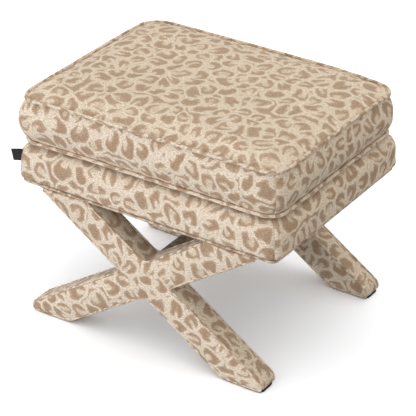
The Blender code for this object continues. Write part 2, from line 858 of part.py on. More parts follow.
def edge_piping_offset():
    """How far the piping's centre runs outside both faces of the edge that it lies on."""
    lean = math.radians(22.5)
    room = LEG_PIPING_RADIUS + GAP - LEG_EDGE * math.sin(lean)
    return room / (math.sin(lean) + math.cos(lean))


def open_rounded(run, steps=3):
    """Rounded corners along an open run: its two end corners stay as they are."""
    ends = (0, len(run) - 1)
    corners = [(x, z, 0 if index in ends else radius) for index, (x, z, radius) in enumerate(run)]
    return rounded(corners, steps)


def make_leg_bolts():
    """Flanged bolts through the cleats, two down into each leg top."""
    head_seat = hem_bottom + CLEAT_HEIGHT + GAP
    profile = [
        (0, LEG_BOLT_HEAD),
        (LEG_BOLT_HEAD_RADIUS, LEG_BOLT_HEAD),
        (LEG_BOLT_HEAD_RADIUS, LEG_BOLT_FLANGE),
        (LEG_BOLT_FLANGE_RADIUS, LEG_BOLT_FLANGE),
        (LEG_BOLT_FLANGE_RADIUS, 0),
        (LEG_BOLT_RADIUS, 0),
        (LEG_BOLT_RADIUS, LEG_TOP - LEG_BOLT_DEPTH - head_seat),
        (0, LEG_TOP - LEG_BOLT_DEPTH - head_seat),
    ]
    for index, (x, y) in enumerate(leg_bolt_places()):
        turned(f"leg_bolt_{index + 1}", profile, (x, y, head_seat), (0, 0, 1), STEEL)


def make_stretcher():
    """Padded stretcher bolted between the crossings of the two X frames."""
    end = frame_face - LEG_DEPTH - GAP

    def section(inset, y):
        half_x = STRETCHER_WIDTH / 2 - inset
        half_z = STRETCHER_HEIGHT / 2 - inset
        radius = STRETCHER_ROUND - inset
        corners = [(half_x, -half_z, radius), (half_x, half_z, radius)]
        corners += [(-half_x, half_z, radius), (-half_x, -half_z, radius)]
        return [Vector((p.x, y, stretcher_middle + p.y)) for p in rounded(corners, 3)]

    for name, inset, thickness, material in (
        ("stretcher_cover", 0, FABRIC, LEOPARD),
        ("stretcher_wadding", FABRIC + GAP, LEG_WADDING, FIBRE),
    ):
        sleeve = loft(name, [section(inset, end), section(inset, -end)], material)
        thicken(sleeve, thickness)
    ends = [section(timber_inset, end), section(timber_inset, -end)]
    core = loft("stretcher_core", ends, HARDWOOD, ends=("start", "end"))
    cut(core, bolt_bores)
    for name, side in (("front", FRONT), ("rear", REAR)):
        head_seat = frame_face - timber_inset - STRETCHER_BOLT_HEAD - GAP
        tip = end - STRETCHER_BOLT_REACH - head_seat
        profile = [
            (0, STRETCHER_BOLT_HEAD),
            (STRETCHER_BOLT_HEAD_RADIUS, STRETCHER_BOLT_HEAD),
            (STRETCHER_BOLT_HEAD_RADIUS, 0),
            (STRETCHER_BOLT_RADIUS, 0),
            (STRETCHER_BOLT_RADIUS, tip + STRETCHER_BOLT_RADIUS),
            (0, tip),
        ]
        place = (0, side * head_seat, stretcher_middle)
        turned(f"stretcher_bolt_{name}", profile, place, (0, side, 0), STEEL)


def make_bores():
    """Cutters for the leg bolts and for the two stretcher bolts."""
    wide = FIXING_CLEARANCE
    circles = [circle(x, y, LEG_BOLT_RADIUS + wide) for x, y in leg_bolt_places()]
    low = LEG_TOP - LEG_BOLT_DEPTH - GAP
    high = hem_bottom + CLEAT_HEIGHT + CUT_REACH
    leg_cutter = extruded("leg_bolt_bore_cutter", circles, low, high, None, collection=cutters)

    timber_face = frame_face - timber_inset
    seat = timber_face - STRETCHER_BOLT_HEAD - 2 * GAP
    tip = frame_face - LEG_DEPTH - 2 * GAP - STRETCHER_BOLT_REACH
    profile = [
        (0, timber_face + GAP / 2 - seat),
        (STRETCHER_BOLT_HEAD_RADIUS + wide, timber_face + GAP / 2 - seat),
        (STRETCHER_BOLT_HEAD_RADIUS + wide, 0),
        (STRETCHER_BOLT_RADIUS + wide, 0),
        (STRETCHER_BOLT_RADIUS + wide, tip - seat),
        (0, tip - seat),
    ]
    bm = bmesh.new()
    for side in (FRONT, REAR):
        place = (0, side * seat, stretcher_middle)
        pattern = turned("bolt_bore_pattern", profile, place, (0, side, 0), None)
        bpy.context.view_layer.update()
        evaluated = pattern.evaluated_get(bpy.context.evaluated_depsgraph_get())
        mesh = bpy.data.meshes.new_from_object(evaluated)
        before = set(bm.verts)
        bm.from_mesh(mesh)
        moved = [v for v in bm.verts if v not in before]
        bmesh.ops.transform(bm, matrix=pattern.matrix_world, verts=moved)
        bpy.data.meshes.remove(mesh)
        bpy.data.objects.remove(pattern)
    return leg_cutter, add_mesh("bolt_bore_cutter", bm, None, cutters)


leg_bolt_bores, bolt_bores = make_bores()

make_cushion()
make_base_frame()
make_base_cover()
make_tag()
make_leg_frame("front_leg", FRONT)
make_leg_frame("rear_leg", REAR)
make_leg_bolts()
make_stretcher()
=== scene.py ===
import math
from functools import partial

import bpy
import numpy as np
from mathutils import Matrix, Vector, geometry, noise


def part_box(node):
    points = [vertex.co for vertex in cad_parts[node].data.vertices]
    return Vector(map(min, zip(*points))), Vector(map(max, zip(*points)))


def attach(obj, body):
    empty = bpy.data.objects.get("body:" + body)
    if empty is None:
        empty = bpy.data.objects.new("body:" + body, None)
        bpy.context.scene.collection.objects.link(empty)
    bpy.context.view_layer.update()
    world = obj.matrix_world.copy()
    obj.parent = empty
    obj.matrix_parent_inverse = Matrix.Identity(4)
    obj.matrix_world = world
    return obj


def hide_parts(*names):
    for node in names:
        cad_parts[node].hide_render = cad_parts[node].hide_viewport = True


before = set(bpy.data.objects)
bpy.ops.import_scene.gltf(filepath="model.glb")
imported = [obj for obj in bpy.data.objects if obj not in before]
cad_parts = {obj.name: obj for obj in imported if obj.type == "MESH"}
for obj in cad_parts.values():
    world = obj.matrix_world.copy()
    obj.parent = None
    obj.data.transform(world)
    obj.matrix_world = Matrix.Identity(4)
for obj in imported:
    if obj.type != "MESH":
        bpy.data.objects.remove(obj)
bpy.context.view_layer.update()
mm = 0.001


# Materials

def hexToLinear(code):
    parts = [int(code[i:i + 2], 16) / 255 for i in (1, 3, 5)]
    return (*[c / 12.92 if c <= 0.04045 else ((c + 0.055) / 1.055) ** 2.4 for c in parts], 1.0)


def feed(tree, node, inputs):
    # links a node or socket, and writes anything else into the input itself
    for key, value in inputs.items():
        if isinstance(value, bpy.types.Node):
            value = value.outputs[0]
        if isinstance(value, bpy.types.NodeSocket):
            tree.links.new(value, node.inputs[key])
        else:
            node.inputs[key].default_value = value


def addNode(tree, kind, inputs=None, **settings):
    node = tree.nodes.new("ShaderNode" + kind)
    for name, value in settings.items():
        setattr(node, name, value)
    feed(tree, node, inputs or {})
    return node


def newMaterial(name):
    material = bpy.data.materials.new(name)
    material.use_nodes = True
    tree = material.node_tree
    return material, partial(feed, tree, tree.nodes["Principled BSDF"]), partial(addNode, tree)


# Leopard chenille: a jacquard weave with a low cut pile, so the eye reads a matt cloth with
# taupe rosettes on cream, soft stepped edges and a fine cross rib
chenille = {
    "ground": "#EDDFCE", "groundShade": "#E6D8C5",
    "spot": "#C3AA93", "spotDark": "#B49A82", "hollow": "#D9C7AE",
    "uneven": 0.72,          # how irregularly the spots stand
    "cell": 39.5 * mm,       # mean distance between spots; the sizes down to heart are its shares
    "full": 0.66, "gap": 0.09, "reach": 0.50, "round": 0.38, "sliver": 0.69,
    "wanders": ((0.7, 0.62), (1.9, 0.24), (4.5, 0.05)),     # how fine, and how far they bend
    # a notch: how deep, how wide, how far it curves and how round its lips are
    "deepest": -0.15, "shallowest": 0.36, "slim": 0.10, "wide": 0.17, "hook": 0.9, "blunt": 0.10,
    "soft": 0.025,           # half the width of a spot's edge
    # the ground inside a rosette is tinted, and the middle of a spot is darker
    "pale": (0.05, 0.30), "paleness": 0.7, "heart": (0.03, 0.13),
    "pick": 0.9 * mm,        # weave step along the edges of a spot
    "rib": 1.7 * mm,         # real ribs are 0.8 mm apart, drawn coarser so that they show
    # uneven yarns and loose fibres, coarser than real ones so that they show, and slow clouds
    "yarn": (6 * mm, 2.2 * mm), "fibre": 2.6 * mm, "cloud": 38 * mm,
    "grain": 0.38,           # how much single yarns differ in tone
    "fade": 0.14, "level": (0.55, 0.95),     # painted sheen: spots are paler on faces that look upwards, as a grazing sheen makes them on the top
    "roughness": 0.88, "sheen": 0.18, "sheenRoughness": 0.5, "specular": 0.1, "relief": 0.35,
}


def leopardPrint(add, cloth):
    c = chenille
    cells = add("VectorMath", {0: cloth, "Scale": 1 / c["cell"]}, operation="SCALE")
    # slow wanders bend the lattice, so that no outline stays straight
    place = cells
    for scale, amount in c["wanders"]:
        drift = add("TexNoise", {"Vector": cells, "Scale": scale, "Detail": 0.0},
                    noise_dimensions="2D")
        drift = add("VectorMath", {0: drift.outputs["Color"], 1: (amount, amount, 0.0),
                                   2: (-amount / 2, -amount / 2, 0.0)},
                    operation="MULTIPLY_ADD")
        place = add("VectorMath", {0: place, 1: drift}, operation="ADD")
    lattice = {"Vector": place, "Scale": 1.0, "Randomness": c["uneven"]}
    nearest = add("TexVoronoi", lattice, voronoi_dimensions="2D", feature="F1")
    second = add("TexVoronoi", lattice, voronoi_dimensions="2D", feature="F2")
    chance = add("SeparateColor", {0: nearest.outputs["Color"]})
    offset = add("VectorMath", {0: place, 1: nearest.outputs["Position"]}, operation="SUBTRACT")
    turn = add("Math", {0: chance.outputs[0], 1: math.tau}, operation="MULTIPLY")
    offset = add("VectorRotate", {"Vector": offset, "Angle": turn}, rotation_type="Z_AXIS")
    offset = add("SeparateXYZ", {0: offset})
    along, across = offset.outputs[0], offset.outputs[1]
    # outline of a spot: halfway to its neighbour, less half a channel, with round corners
    edge = add("Math", {0: second.outputs["Distance"], 1: nearest.outputs["Distance"]},
               operation="SUBTRACT")
    edge = add("Math", {0: edge, 1: c["full"], 2: -c["gap"]}, operation="MULTIPLY_ADD")
    rim = add("Math", {0: c["reach"], 1: nearest.outputs["Distance"]}, operation="SUBTRACT")
    outline = add("Math", {0: edge, 1: rim, 2: c["round"]}, operation="SMOOTH_MIN")
    # a notch pushed in from one side: deep and wide makes a C, shallow leaves a blob
    start = add("MapRange", {"Value": chance.outputs[1], "To Min": c["deepest"],
                             "To Max": c["shallowest"]})
    wide = add("MapRange", {"Value": chance.outputs[2], "To Min": c["slim"], "To Max": c["wide"]})
    lean = add("MapRange", {"Value": chance.outputs[2], "To Min": -c["hook"],
                            "To Max": c["hook"]})
    bend = add("Math", {0: along, 1: along}, operation="MULTIPLY")
    bend = add("Math", {0: bend, 1: lean, 2: across}, operation="MULTIPLY_ADD")
    run = add("Math", {0: along, 1: start}, operation="SUBTRACT")
    run = add("Math", {0: run, 1: 0.0}, operation="MINIMUM")
    run = add("Math", {0: run, 1: run}, operation="MULTIPLY")
    run = add("Math", {0: bend, 1: bend, 2: run}, operation="MULTIPLY_ADD")
    run = add("Math", {0: run}, operation="SQRT")
    notch = add("Math", {0: run, 1: wide}, operation="SUBTRACT")
    body = add("Math", {0: outline, 1: notch, 2: c["blunt"]}, operation="SMOOTH_MIN")
    # slivers fill the corners that are far from every spot
    sliver = add("Math", {0: nearest.outputs["Distance"], 1: c["sliver"]}, operation="SUBTRACT")
    body = add("Math", {0: body, 1: sliver}, operation="MAXIMUM")
    spot = add("MapRange", {"Value": body, "From Min": -c["soft"], "From Max": c["soft"]},
               interpolation_type="SMOOTHSTEP")
    inner = add("MapRange", {"Value": nearest.outputs["Distance"], "From Min": c["pale"][0],
                             "From Max": c["pale"][1], "To Min": c["paleness"], "To Max": 0.0},
                interpolation_type="SMOOTHSTEP")
    heart = add("MapRange", {"Value": body, "From Min": c["heart"][0],
                             "From Max": c["heart"][1]}, interpolation_type="SMOOTHSTEP")
    return spot.outputs[0], inner.outputs[0], heart.outputs[0]


def makeChenille():
    c = chenille
    material, shade, add = newMaterial("leopardChenille")
    cloth = add("UVMap", uv_map="cloth")
    stepped = add("VectorMath", {0: cloth, 1: (c["pick"], c["pick"], 1.0)}, operation="SNAP")
    spot, inner, heart = leopardPrint(add, stepped.outputs[0])

    # yarns: uneven pick lines plus loose fibres, in tone and in relief
    yarn = add("VectorMath", {0: cloth, 1: (1 / c["yarn"][0], 1 / c["yarn"][1], 1.0)},
               operation="MULTIPLY")
    yarn = add("TexNoise", {"Vector": yarn, "Scale": 1.0, "Detail": 2.0, "Roughness": 0.6},
               noise_dimensions="2D")
    fibre = add("TexNoise", {"Vector": cloth, "Scale": 1 / c["fibre"], "Detail": 3.0,
                             "Roughness": 0.7}, noise_dimensions="2D")
    cloud = add("TexNoise", {"Vector": cloth, "Scale": 1 / c["cloud"], "Detail": 2.0},
                noise_dimensions="2D")
    tone = add("Math", {0: yarn, 1: fibre}, operation="ADD")
    tone = add("MapRange", {"Value": tone, "From Min": 0.65, "From Max": 1.35,
                            "To Min": 1 - c["grain"], "To Max": 1 + 0.8 * c["grain"]})

    # painted sheen: the spots fade where the cloth faces upwards, standing in for the grazing sheen on
    # the top
    facing = add("SeparateXYZ", {0: add("NewGeometry").outputs["Normal"]})
    fade = add("MapRange", {"Value": facing.outputs[2], "From Min": c["level"][0],
                            "From Max": c["level"][1], "To Min": 1.0, "To Max": 1 - c["fade"]})
    spot = add("Math", {0: spot, 1: fade}, operation="MULTIPLY")

    ground = add("Mix", {0: cloud, 6: hexToLinear(c["groundShade"]), 7: hexToLinear(c["ground"])},
                 data_type="RGBA")
    taupe = add("Mix", {0: heart, 6: hexToLinear(c["spot"]), 7: hexToLinear(c["spotDark"])},
                data_type="RGBA")
    hollow = add("Mix", {0: inner, 6: ground.outputs[2], 7: hexToLinear(c["hollow"])},
                 data_type="RGBA")
    colour = add("Mix", {0: spot, 6: hollow.outputs[2], 7: taupe.outputs[2]}, data_type="RGBA")
    colour = add("VectorMath", {0: colour.outputs[2], "Scale": tone}, operation="SCALE")

    rib = add("SeparateXYZ", {0: cloth})
    rib = add("Math", {0: rib.outputs[1], 1: math.tau / c["rib"]}, operation="MULTIPLY")
    rib = add("Math", {0: rib}, operation="SINE")
    relief = add("Math", {0: rib, 1: 0.12, 2: yarn}, operation="MULTIPLY_ADD")
    relief = add("Math", {0: fibre, 1: 0.8, 2: relief}, operation="MULTIPLY_ADD")
    bump = add("Bump", {"Height": relief, "Strength": c["relief"], "Distance": 0.5 * mm})
    shade({"Base Color": colour, "Normal": bump, "Roughness": c["roughness"],
           "Sheen Weight": c["sheen"], "Sheen Roughness": c["sheenRoughness"],
           "Specular IOR Level": c["specular"]})
    return material


def finishTimber(add, shade, colour, grain, relief, roughness):
    # the grain darkens the wood a little and stands in low relief
    tone = add("MapRange", {"Value": grain, "From Min": 0.3, "From Max": 0.7,
                            "To Min": 0.9, "To Max": 1.05})
    colour = add("VectorMath", {0: colour.outputs[2], "Scale": tone}, operation="SCALE")
    bump = add("Bump", {"Height": grain, "Strength": relief, "Distance": 0.2 * mm})
    shade({"Base Color": colour, "Normal": bump, "Roughness": roughness})


def makeTimber(name, early, late, spacing, direction):
    # planed timber: straight growth rings stretched along the board, a dull low gloss, and
    # pores drawn 0.9 mm wide, coarser than real ones so that they show
    material, shade, add = newMaterial(name)
    here = add("TexCoord").outputs["Object"]
    lengthways = Vector(direction).normalized()
    spin = lengthways.to_track_quat("X", "Z").inverted().to_euler()
    here = add("Mapping", {"Vector": here, "Rotation": spin, "Scale": (0.05, 1.0, 1.0)})
    ring = add("TexWave", {"Vector": here, "Scale": 1 / spacing / 6.3, "Distortion": 3.0,
                           "Detail": 2.0, "Detail Scale": 1.5}, bands_direction="Z")
    pore = add("TexNoise", {"Vector": here, "Scale": 1 / (0.9 * mm), "Detail": 3.0})
    colour = add("Mix", {0: ring.outputs["Fac"], 6: hexToLinear(early), 7: hexToLinear(late)},
                 data_type="RGBA")
    finishTimber(add, shade, colour, pore, 0.25, 0.6)
    return material


def makeSheetGoods(name, dark, light, grain, roughness, strength=0.4):
    # cloth, felt and thread: short fibres in tone and relief, coarser than real ones so
    # that they show
    material, shade, add = newMaterial(name)
    here = add("TexCoord").outputs["Object"]
    fibre = add("TexNoise", {"Vector": here, "Scale": 1 / grain, "Detail": 3.0,
                             "Roughness": 0.6})
    blotch = add("TexNoise", {"Vector": here, "Scale": 1 / (12 * grain), "Detail": 1.0})
    both = add("Math", {0: fibre, 1: blotch}, operation="ADD")
    both = add("MapRange", {"Value": both, "From Min": 0.75, "From Max": 1.25})
    colour = add("Mix", {0: both, 6: hexToLinear(dark), 7: hexToLinear(light)}, data_type="RGBA")
    bump = add("Bump", {"Height": fibre, "Strength": strength, "Distance": 0.4 * mm})
    shade({"Base Color": colour.outputs[2], "Normal": bump, "Roughness": roughness})
    return material


def makePlatedSteel():
    # zinc-plated steel: a cool grey metal, its spangle and handling marks vary the gloss
    material, shade, add = newMaterial("zincPlatedSteel")
    here = add("TexCoord").outputs["Object"]
    spangle = add("TexVoronoi", {"Vector": here, "Scale": 1 / (1.6 * mm)})
    marks = add("TexNoise", {"Vector": here, "Scale": 1 / (2.5 * mm), "Detail": 3.0})
    tone = add("SeparateColor", {0: spangle.outputs["Color"]})
    colour = add("Mix", {0: tone, 6: hexToLinear("#B9BDC0"), 7: hexToLinear("#D2D5D6")},
                 data_type="RGBA")
    gloss = add("MapRange", {"Value": marks, "From Min": 0.3, "From Max": 0.7, "To Min": 0.26,
                             "To Max": 0.46})
    bump = add("Bump", {"Height": marks, "Strength": 0.15, "Distance": 0.1 * mm})
    shade({"Base Color": colour.outputs[2], "Roughness": gloss, "Normal": bump, "Metallic": 1.0})
    return material


def makePlywood():
    # birch plywood: a pale rotary-cut face, and thin layers of crossed grain along the edge
    material, shade, add = newMaterial("birchPlywood")
    ply = 2.4 * mm
    here = add("TexCoord").outputs["Object"]
    face = add("Mapping", {"Vector": here, "Scale": (2.5, 30.0, 1.0)})
    figure = add("TexWave", {"Vector": face, "Scale": 1.0, "Distortion": 9.0, "Detail": 3.0,
                             "Detail Scale": 1.2}, bands_direction="Y")
    fibre = add("Mapping", {"Vector": here, "Scale": (60.0, 1400.0, 1400.0)})
    fibre = add("TexNoise", {"Vector": fibre, "Scale": 1.0, "Detail": 2.0})
    height = add("SeparateXYZ", {0: here})
    layer = add("Math", {0: height.outputs[2], 1: math.pi / ply}, operation="MULTIPLY")
    layer = add("Math", {0: layer}, operation="SINE")
    layer = add("Math", {0: layer, 1: 0.0}, operation="GREATER_THAN")
    wood = add("Mix", {0: figure.outputs["Fac"], 6: hexToLinear("#DCC49A"),
                       7: hexToLinear("#CDB081")}, data_type="RGBA")
    facing = add("SeparateXYZ", {0: add("NewGeometry").outputs["Normal"]})
    edge = add("Math", {0: facing.outputs[2]}, operation="ABSOLUTE")
    edge = add("Math", {0: 0.5, 1: edge}, operation="GREATER_THAN")
    edge = add("Math", {0: edge, 1: layer}, operation="MULTIPLY")
    colour = add("Mix", {0: edge, 6: wood.outputs[2], 7: hexToLinear("#A98558")},
                 data_type="RGBA")
    finishTimber(add, shade, colour, fibre, 0.2, 0.62)
    return material


# early wood, late wood and about half the distance between rings
softwood = ("#D8B98A", "#B98F5B", 3.2 * mm)      # pine: yellow, with broad brown rings
beech = ("#CDA57C", "#B98B62", 1.4 * mm)         # beech: pinkish and close, almost plain
tilt = 0.62                                      # how steeply the leg bars rise

leopard = makeChenille()
softwoodX = makeTimber("planedSoftwoodAlong", *softwood, (1, 0, 0))
softwoodY = makeTimber("planedSoftwoodAcross", *softwood, (0, 1, 0))
beechX = makeTimber("planedBeechAlong", *beech, (1, 0, 0))
beechY = makeTimber("planedBeechAcross", *beech, (0, 1, 0))
beechRising = makeTimber("planedBeechRising", *beech, (1, 0, tilt))
beechFalling = makeTimber("planedBeechFalling", *beech, (1, 0, -tilt))
# pressed wool felt and spun nonwoven: black with no gloss at all
feltPad = makeSheetGoods("blackFelt", "#0B0B0C", "#1C1C1D", 0.8 * mm, 0.95)
nonwoven = makeSheetGoods("blackNonwoven", "#141415", "#232325", 1.4 * mm, 0.9)
# plain cotton lining: dull beige, and satin for the tag: black with a faint gloss
lining = makeSheetGoods("platformLining", "#C5B596", "#D6C8AC", 0.7 * mm, 0.9)
labelCloth = makeSheetGoods("blackLabelSatin", "#08080A", "#141416", 0.6 * mm, 0.7)
# the zip: tan twill tape, a smooth half-glossy nylon coil, and pale spun thread
thread = makeSheetGoods("polyesterThread", "#CBB99C", "#DDCFB6", 0.4 * mm, 0.6, 0.2)
zipTwill = makeSheetGoods("zipTapeTwill", "#A8906F", "#BDA685", 0.6 * mm, 0.85)
coilNylon = makeSheetGoods("zipCoilNylon", "#8F795D", "#A58D6E", 0.5 * mm, 0.4, 0.1)
platedSteel = makePlatedSteel()
plywood = makePlywood()
print("materials made")


# Meshes

def addPiece(name, points, faces, corners, material):
    mesh = bpy.data.meshes.new(name)
    mesh.from_pydata([tuple(p) for p in points], [], faces)
    if corners is not None:
        layer = mesh.uv_layers.new(name="cloth")
        layer.data.foreach_set("uv", np.array(corners, np.float32).ravel())
    mesh.materials.append(material)
    mesh.shade_smooth()
    item = bpy.data.objects.new(name, mesh)
    bpy.context.scene.collection.objects.link(item)
    return item


def settle(piece, body, slot, *nodes):
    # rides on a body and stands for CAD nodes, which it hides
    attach(piece, body)
    if nodes:
        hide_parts(*nodes)


def swayOf(ring, seed):
    # how a welt wanders up and down along its seam, from -1 to 1
    return wander(np.column_stack((ring, np.zeros(len(ring)))), 0.03, seed)


def layPanel(ids, cloth, faces, corners, flip=False):
    # one quad per cell of a grid of vertex numbers, with its own place on the cloth
    rows, columns = ids.shape
    for r in range(rows - 1):
        for c in range(columns - 1):
            ring = [(r, c), (r, c + 1), (r + 1, c + 1), (r + 1, c)]
            if flip:
                ring.reverse()
            faces.append([int(ids[place]) for place in ring])
            corners.extend(cloth[place] for place in ring)


def layBands(rows, count, columns, along, places, faces, corners):
    # the four sides between their corner seams, each with its own place on the cloth
    climb = np.cumsum([0] + [math.dist(a, b) for a, b in zip(rows, rows[1:])])
    for column, run, (x, y) in zip(columns, along, places):
        ids = np.array([[r * count + n for n in column] for r in range(len(rows))])
        cloth = np.array([[(s + x, t + y) for s in run] for t in climb])
        layPanel(ids, cloth, faces, corners)


def layStrips(first, second, plan, columns, faces, corners):
    # narrow strips between two loops of vertices, where a panel turns down to its seam
    for column in columns:
        ids = np.array([[first + n for n in column], [second + n for n in column]])
        layPanel(ids, np.array([plan[column]] * 2), faces, corners)


def drawSeams(depth, levels, count, columns, dip):
    # a corner seam pulls in its own column, and its neighbours a third as far
    for r in levels:
        for start in (column[0] for column in columns):
            depth[r * count + start] -= dip
            for beside in (start - 1, start + 1):
                depth[r * count + beside % count] -= 0.35 * dip


def runAlong(loop):
    # distance travelled at each point of a closed loop, and at its start again
    steps = np.linalg.norm(np.roll(loop, -1, 0) - loop, axis=1)
    return np.concatenate(([0], np.cumsum(steps)))


def planLoop(halfX, halfY, corner, spacing):
    # a rounded rectangle as four sides, right, rear, left and front, that meet in the
    # middle of each corner, where the real seams are
    points, normals, columns, along = [], [], [], []
    for turn in range(4):
        reach, half = (halfX, halfY) if turn % 2 == 0 else (halfY, halfX)
        straight = half - corner
        length = 2 * straight + corner * math.pi / 2
        # close columns beside each seam let it sink as a narrow groove
        beside = 1.4 * mm
        steps = round((length - 6 * beside) / spacing)
        places = np.linspace(3 * beside - length / 2, length / 2 - 3 * beside, steps + 1)
        places = [-length / 2, beside - length / 2, *places, length / 2 - beside]
        angle = turn * math.pi / 2
        outward = np.array((math.cos(angle), math.sin(angle)))
        across = np.array((-math.sin(angle), math.cos(angle)))
        first = len(points)
        for s in places:
            sign = math.copysign(1, s)
            bend = max(abs(s) - straight, 0) / corner
            normal = outward * math.cos(bend) + across * sign * math.sin(bend)
            core = outward * (reach - corner) + across * (s if bend == 0 else sign * straight)
            points.append(core + corner * normal)
            normals.append(normal)
        columns.append(list(range(first, first + len(places) + 1)))
        along.append(np.array([*places, length / 2]))
    columns[3][-1] = 0
    return np.array(points), np.array(normals), columns, along


def coonsGrid(columns, plan, along):
    # plan places of a patch of quads inside a loop
    right, rear, left, front = (plan[side] for side in columns)
    u = (along[3] / along[3][-1] / 2 + 0.5)[None, :, None]
    v = (along[0] / along[0][-1] / 2 + 0.5)[:, None, None]
    south, north = front[None], rear[::-1][None]
    west, east = left[::-1][:, None], right[:, None]
    grid = (1 - v) * south + v * north + (1 - u) * west + u * east
    grid -= (1 - u) * (1 - v) * front[0] + u * (1 - v) * front[-1]
    grid -= (1 - u) * v * rear[-1] + u * v * rear[0]
    return grid


def patchNumbers(columns, loopStart, innerStart):
    rows, wide = len(columns[0]), len(columns[3])
    ids = np.zeros((rows, wide), int)
    ids[0] = np.array(columns[3]) + loopStart
    ids[-1] = np.array(columns[1])[::-1] + loopStart
    ids[:, -1] = np.array(columns[0]) + loopStart
    ids[:, 0] = np.array(columns[2])[::-1] + loopStart
    ids[1:-1, 1:-1] = innerStart + np.arange((rows - 2) * (wide - 2)).reshape(rows - 2, wide - 2)
    return ids


def wander(points, size, seed):
    # slow unevenness, from -1 to 1 at each point
    away = Vector((seed, 0.3 * seed, 0))
    return np.array([noise.noise(Vector(p) / size + away) for p in points])


def pushOut(points, faces, depth):
    # moves each point along its own normal by so much
    normals = vertexNormals(points, faces)
    return points + normals * depth[:, None]


def vertexNormals(points, faces):
    quads = np.array(faces)
    cross = np.cross(points[quads[:, 2]] - points[quads[:, 0]],
                     points[quads[:, 3]] - points[quads[:, 1]])
    total = np.zeros_like(points)
    for k in range(4):
        np.add.at(total, quads[:, k], cross)
    return total / np.maximum(np.linalg.norm(total, axis=1, keepdims=True), 1e-12)


clothSettings = {"quality": 4, "mass": 0.3, "tension_stiffness": 40, "compression_stiffness": 40,
                 "shear_stiffness": 15, "bending_stiffness": 0.4, "use_pressure": True}


def simulatePadding(item, pinned, c):
    # Blender's cloth, blown up from inside and held at its seams
    group = item.vertex_groups.new(name="seams")
    group.add([int(p) for p in pinned], 1.0, "REPLACE")
    cloth = item.modifiers.new("cloth", "CLOTH")
    for name, value in clothSettings.items():
        setattr(cloth.settings, name, value)
    cloth.settings.uniform_pressure_force = c["pressure"]
    cloth.settings.shrink_min = -c["slack"]
    cloth.settings.vertex_group_mass = "seams"
    cloth.settings.effector_weights.gravity = 0
    cloth.collision_settings.use_collision = False
    cloth.point_cache.frame_start = 1
    cloth.point_cache.frame_end = c["frames"]
    scene = bpy.context.scene
    for number in range(1, c["frames"] + 1):
        scene.frame_set(number)
    shown = item.evaluated_get(bpy.context.evaluated_depsgraph_get())
    moved = np.array([v.co for v in shown.data.vertices])
    start = np.array([v.co for v in item.data.vertices])
    item.modifiers.remove(cloth)
    item.vertex_groups.remove(group)
    scene.frame_set(1)
    step = moved - start
    far = np.linalg.norm(step, axis=1, keepdims=True)
    print("  furthest move, mm:", round(float(far.max()) * 1000, 1))
    return start + step * np.minimum(1, c["cap"] / np.maximum(far, 1e-9))


def setPoints(item, points):
    item.data.vertices.foreach_set("co", np.asarray(points, np.float32).ravel())
    item.data.update()


def subdivide(item):
    smooth = item.modifiers.new("smooth", "SUBSURF")
    smooth.levels = smooth.render_levels = 1
    bpy.context.view_layer.update()
    shown = item.evaluated_get(bpy.context.evaluated_depsgraph_get())
    mesh = bpy.data.meshes.new_from_object(shown)
    item.modifiers.remove(smooth)
    item.data = mesh
    mesh.name = item.name
    mesh.shade_smooth()


def ropeAlong(name, points, closed, radius, waver, seed, sides=10):
    # a welt of the same cloth: rings along a line, with cloth coordinates cut on the bias
    count, bias = len(points), 0.7071
    lump = 0.009             # metres from one thick place to the next
    ahead = np.roll(points, -1, 0) - points
    if not closed:
        ahead[-1] = ahead[-2]
    behind = np.roll(ahead, 1, 0)
    if not closed:
        behind[0] = ahead[0]
    tangent = ahead + behind
    tangent /= np.linalg.norm(tangent, axis=1, keepdims=True)
    run = np.concatenate(([0], np.cumsum(np.linalg.norm(ahead, axis=1))))
    side = np.cross(tangent, (0.0, 0.0, 1.0))
    flat = np.linalg.norm(side, axis=1) < 0.2
    side[flat] = np.cross(tangent[flat], (0.0, 1.0, 0.0))
    # carry the first side vector along the line, so that the rope doesn't twist
    carried = [side[0] / np.linalg.norm(side[0])]
    for t in tangent[1:]:
        s = carried[-1] - t * np.dot(carried[-1], t)
        carried.append(s / np.linalg.norm(s))
    side = np.array(carried)
    up = np.cross(side, tangent)
    verts, faces, corners = [], [], []
    for i in range(count):
        swell = 1 + waver * noise.noise(Vector((run[i] / lump + seed, seed, 0)))
        for k in range(sides):
            turn = math.tau * k / sides
            out = side[i] * math.cos(turn) + up[i] * math.sin(turn)
            verts.append(points[i] + out * radius * swell)
    last = count if closed else count - 1
    for i in range(last):
        j = (i + 1) % count
        for k in range(sides):
            m = (k + 1) % sides
            faces.append([i * sides + k, i * sides + m, j * sides + m, j * sides + k])
            for along, turn in ((run[i], k), (run[i], k + 1),
                                (run[i + 1], k + 1), (run[i + 1], k)):
                around = turn / sides * math.tau * radius
                corners.append(((along + around) * bias + seed, (along - around) * bias))
    if not closed:
        faces.append(list(range(sides))[::-1])
        faces.append(list(range((count - 1) * sides, count * sides)))
        corners += [(seed, 0.0)] * (2 * sides)
    return addPiece(name, verts, faces, corners, leopard)


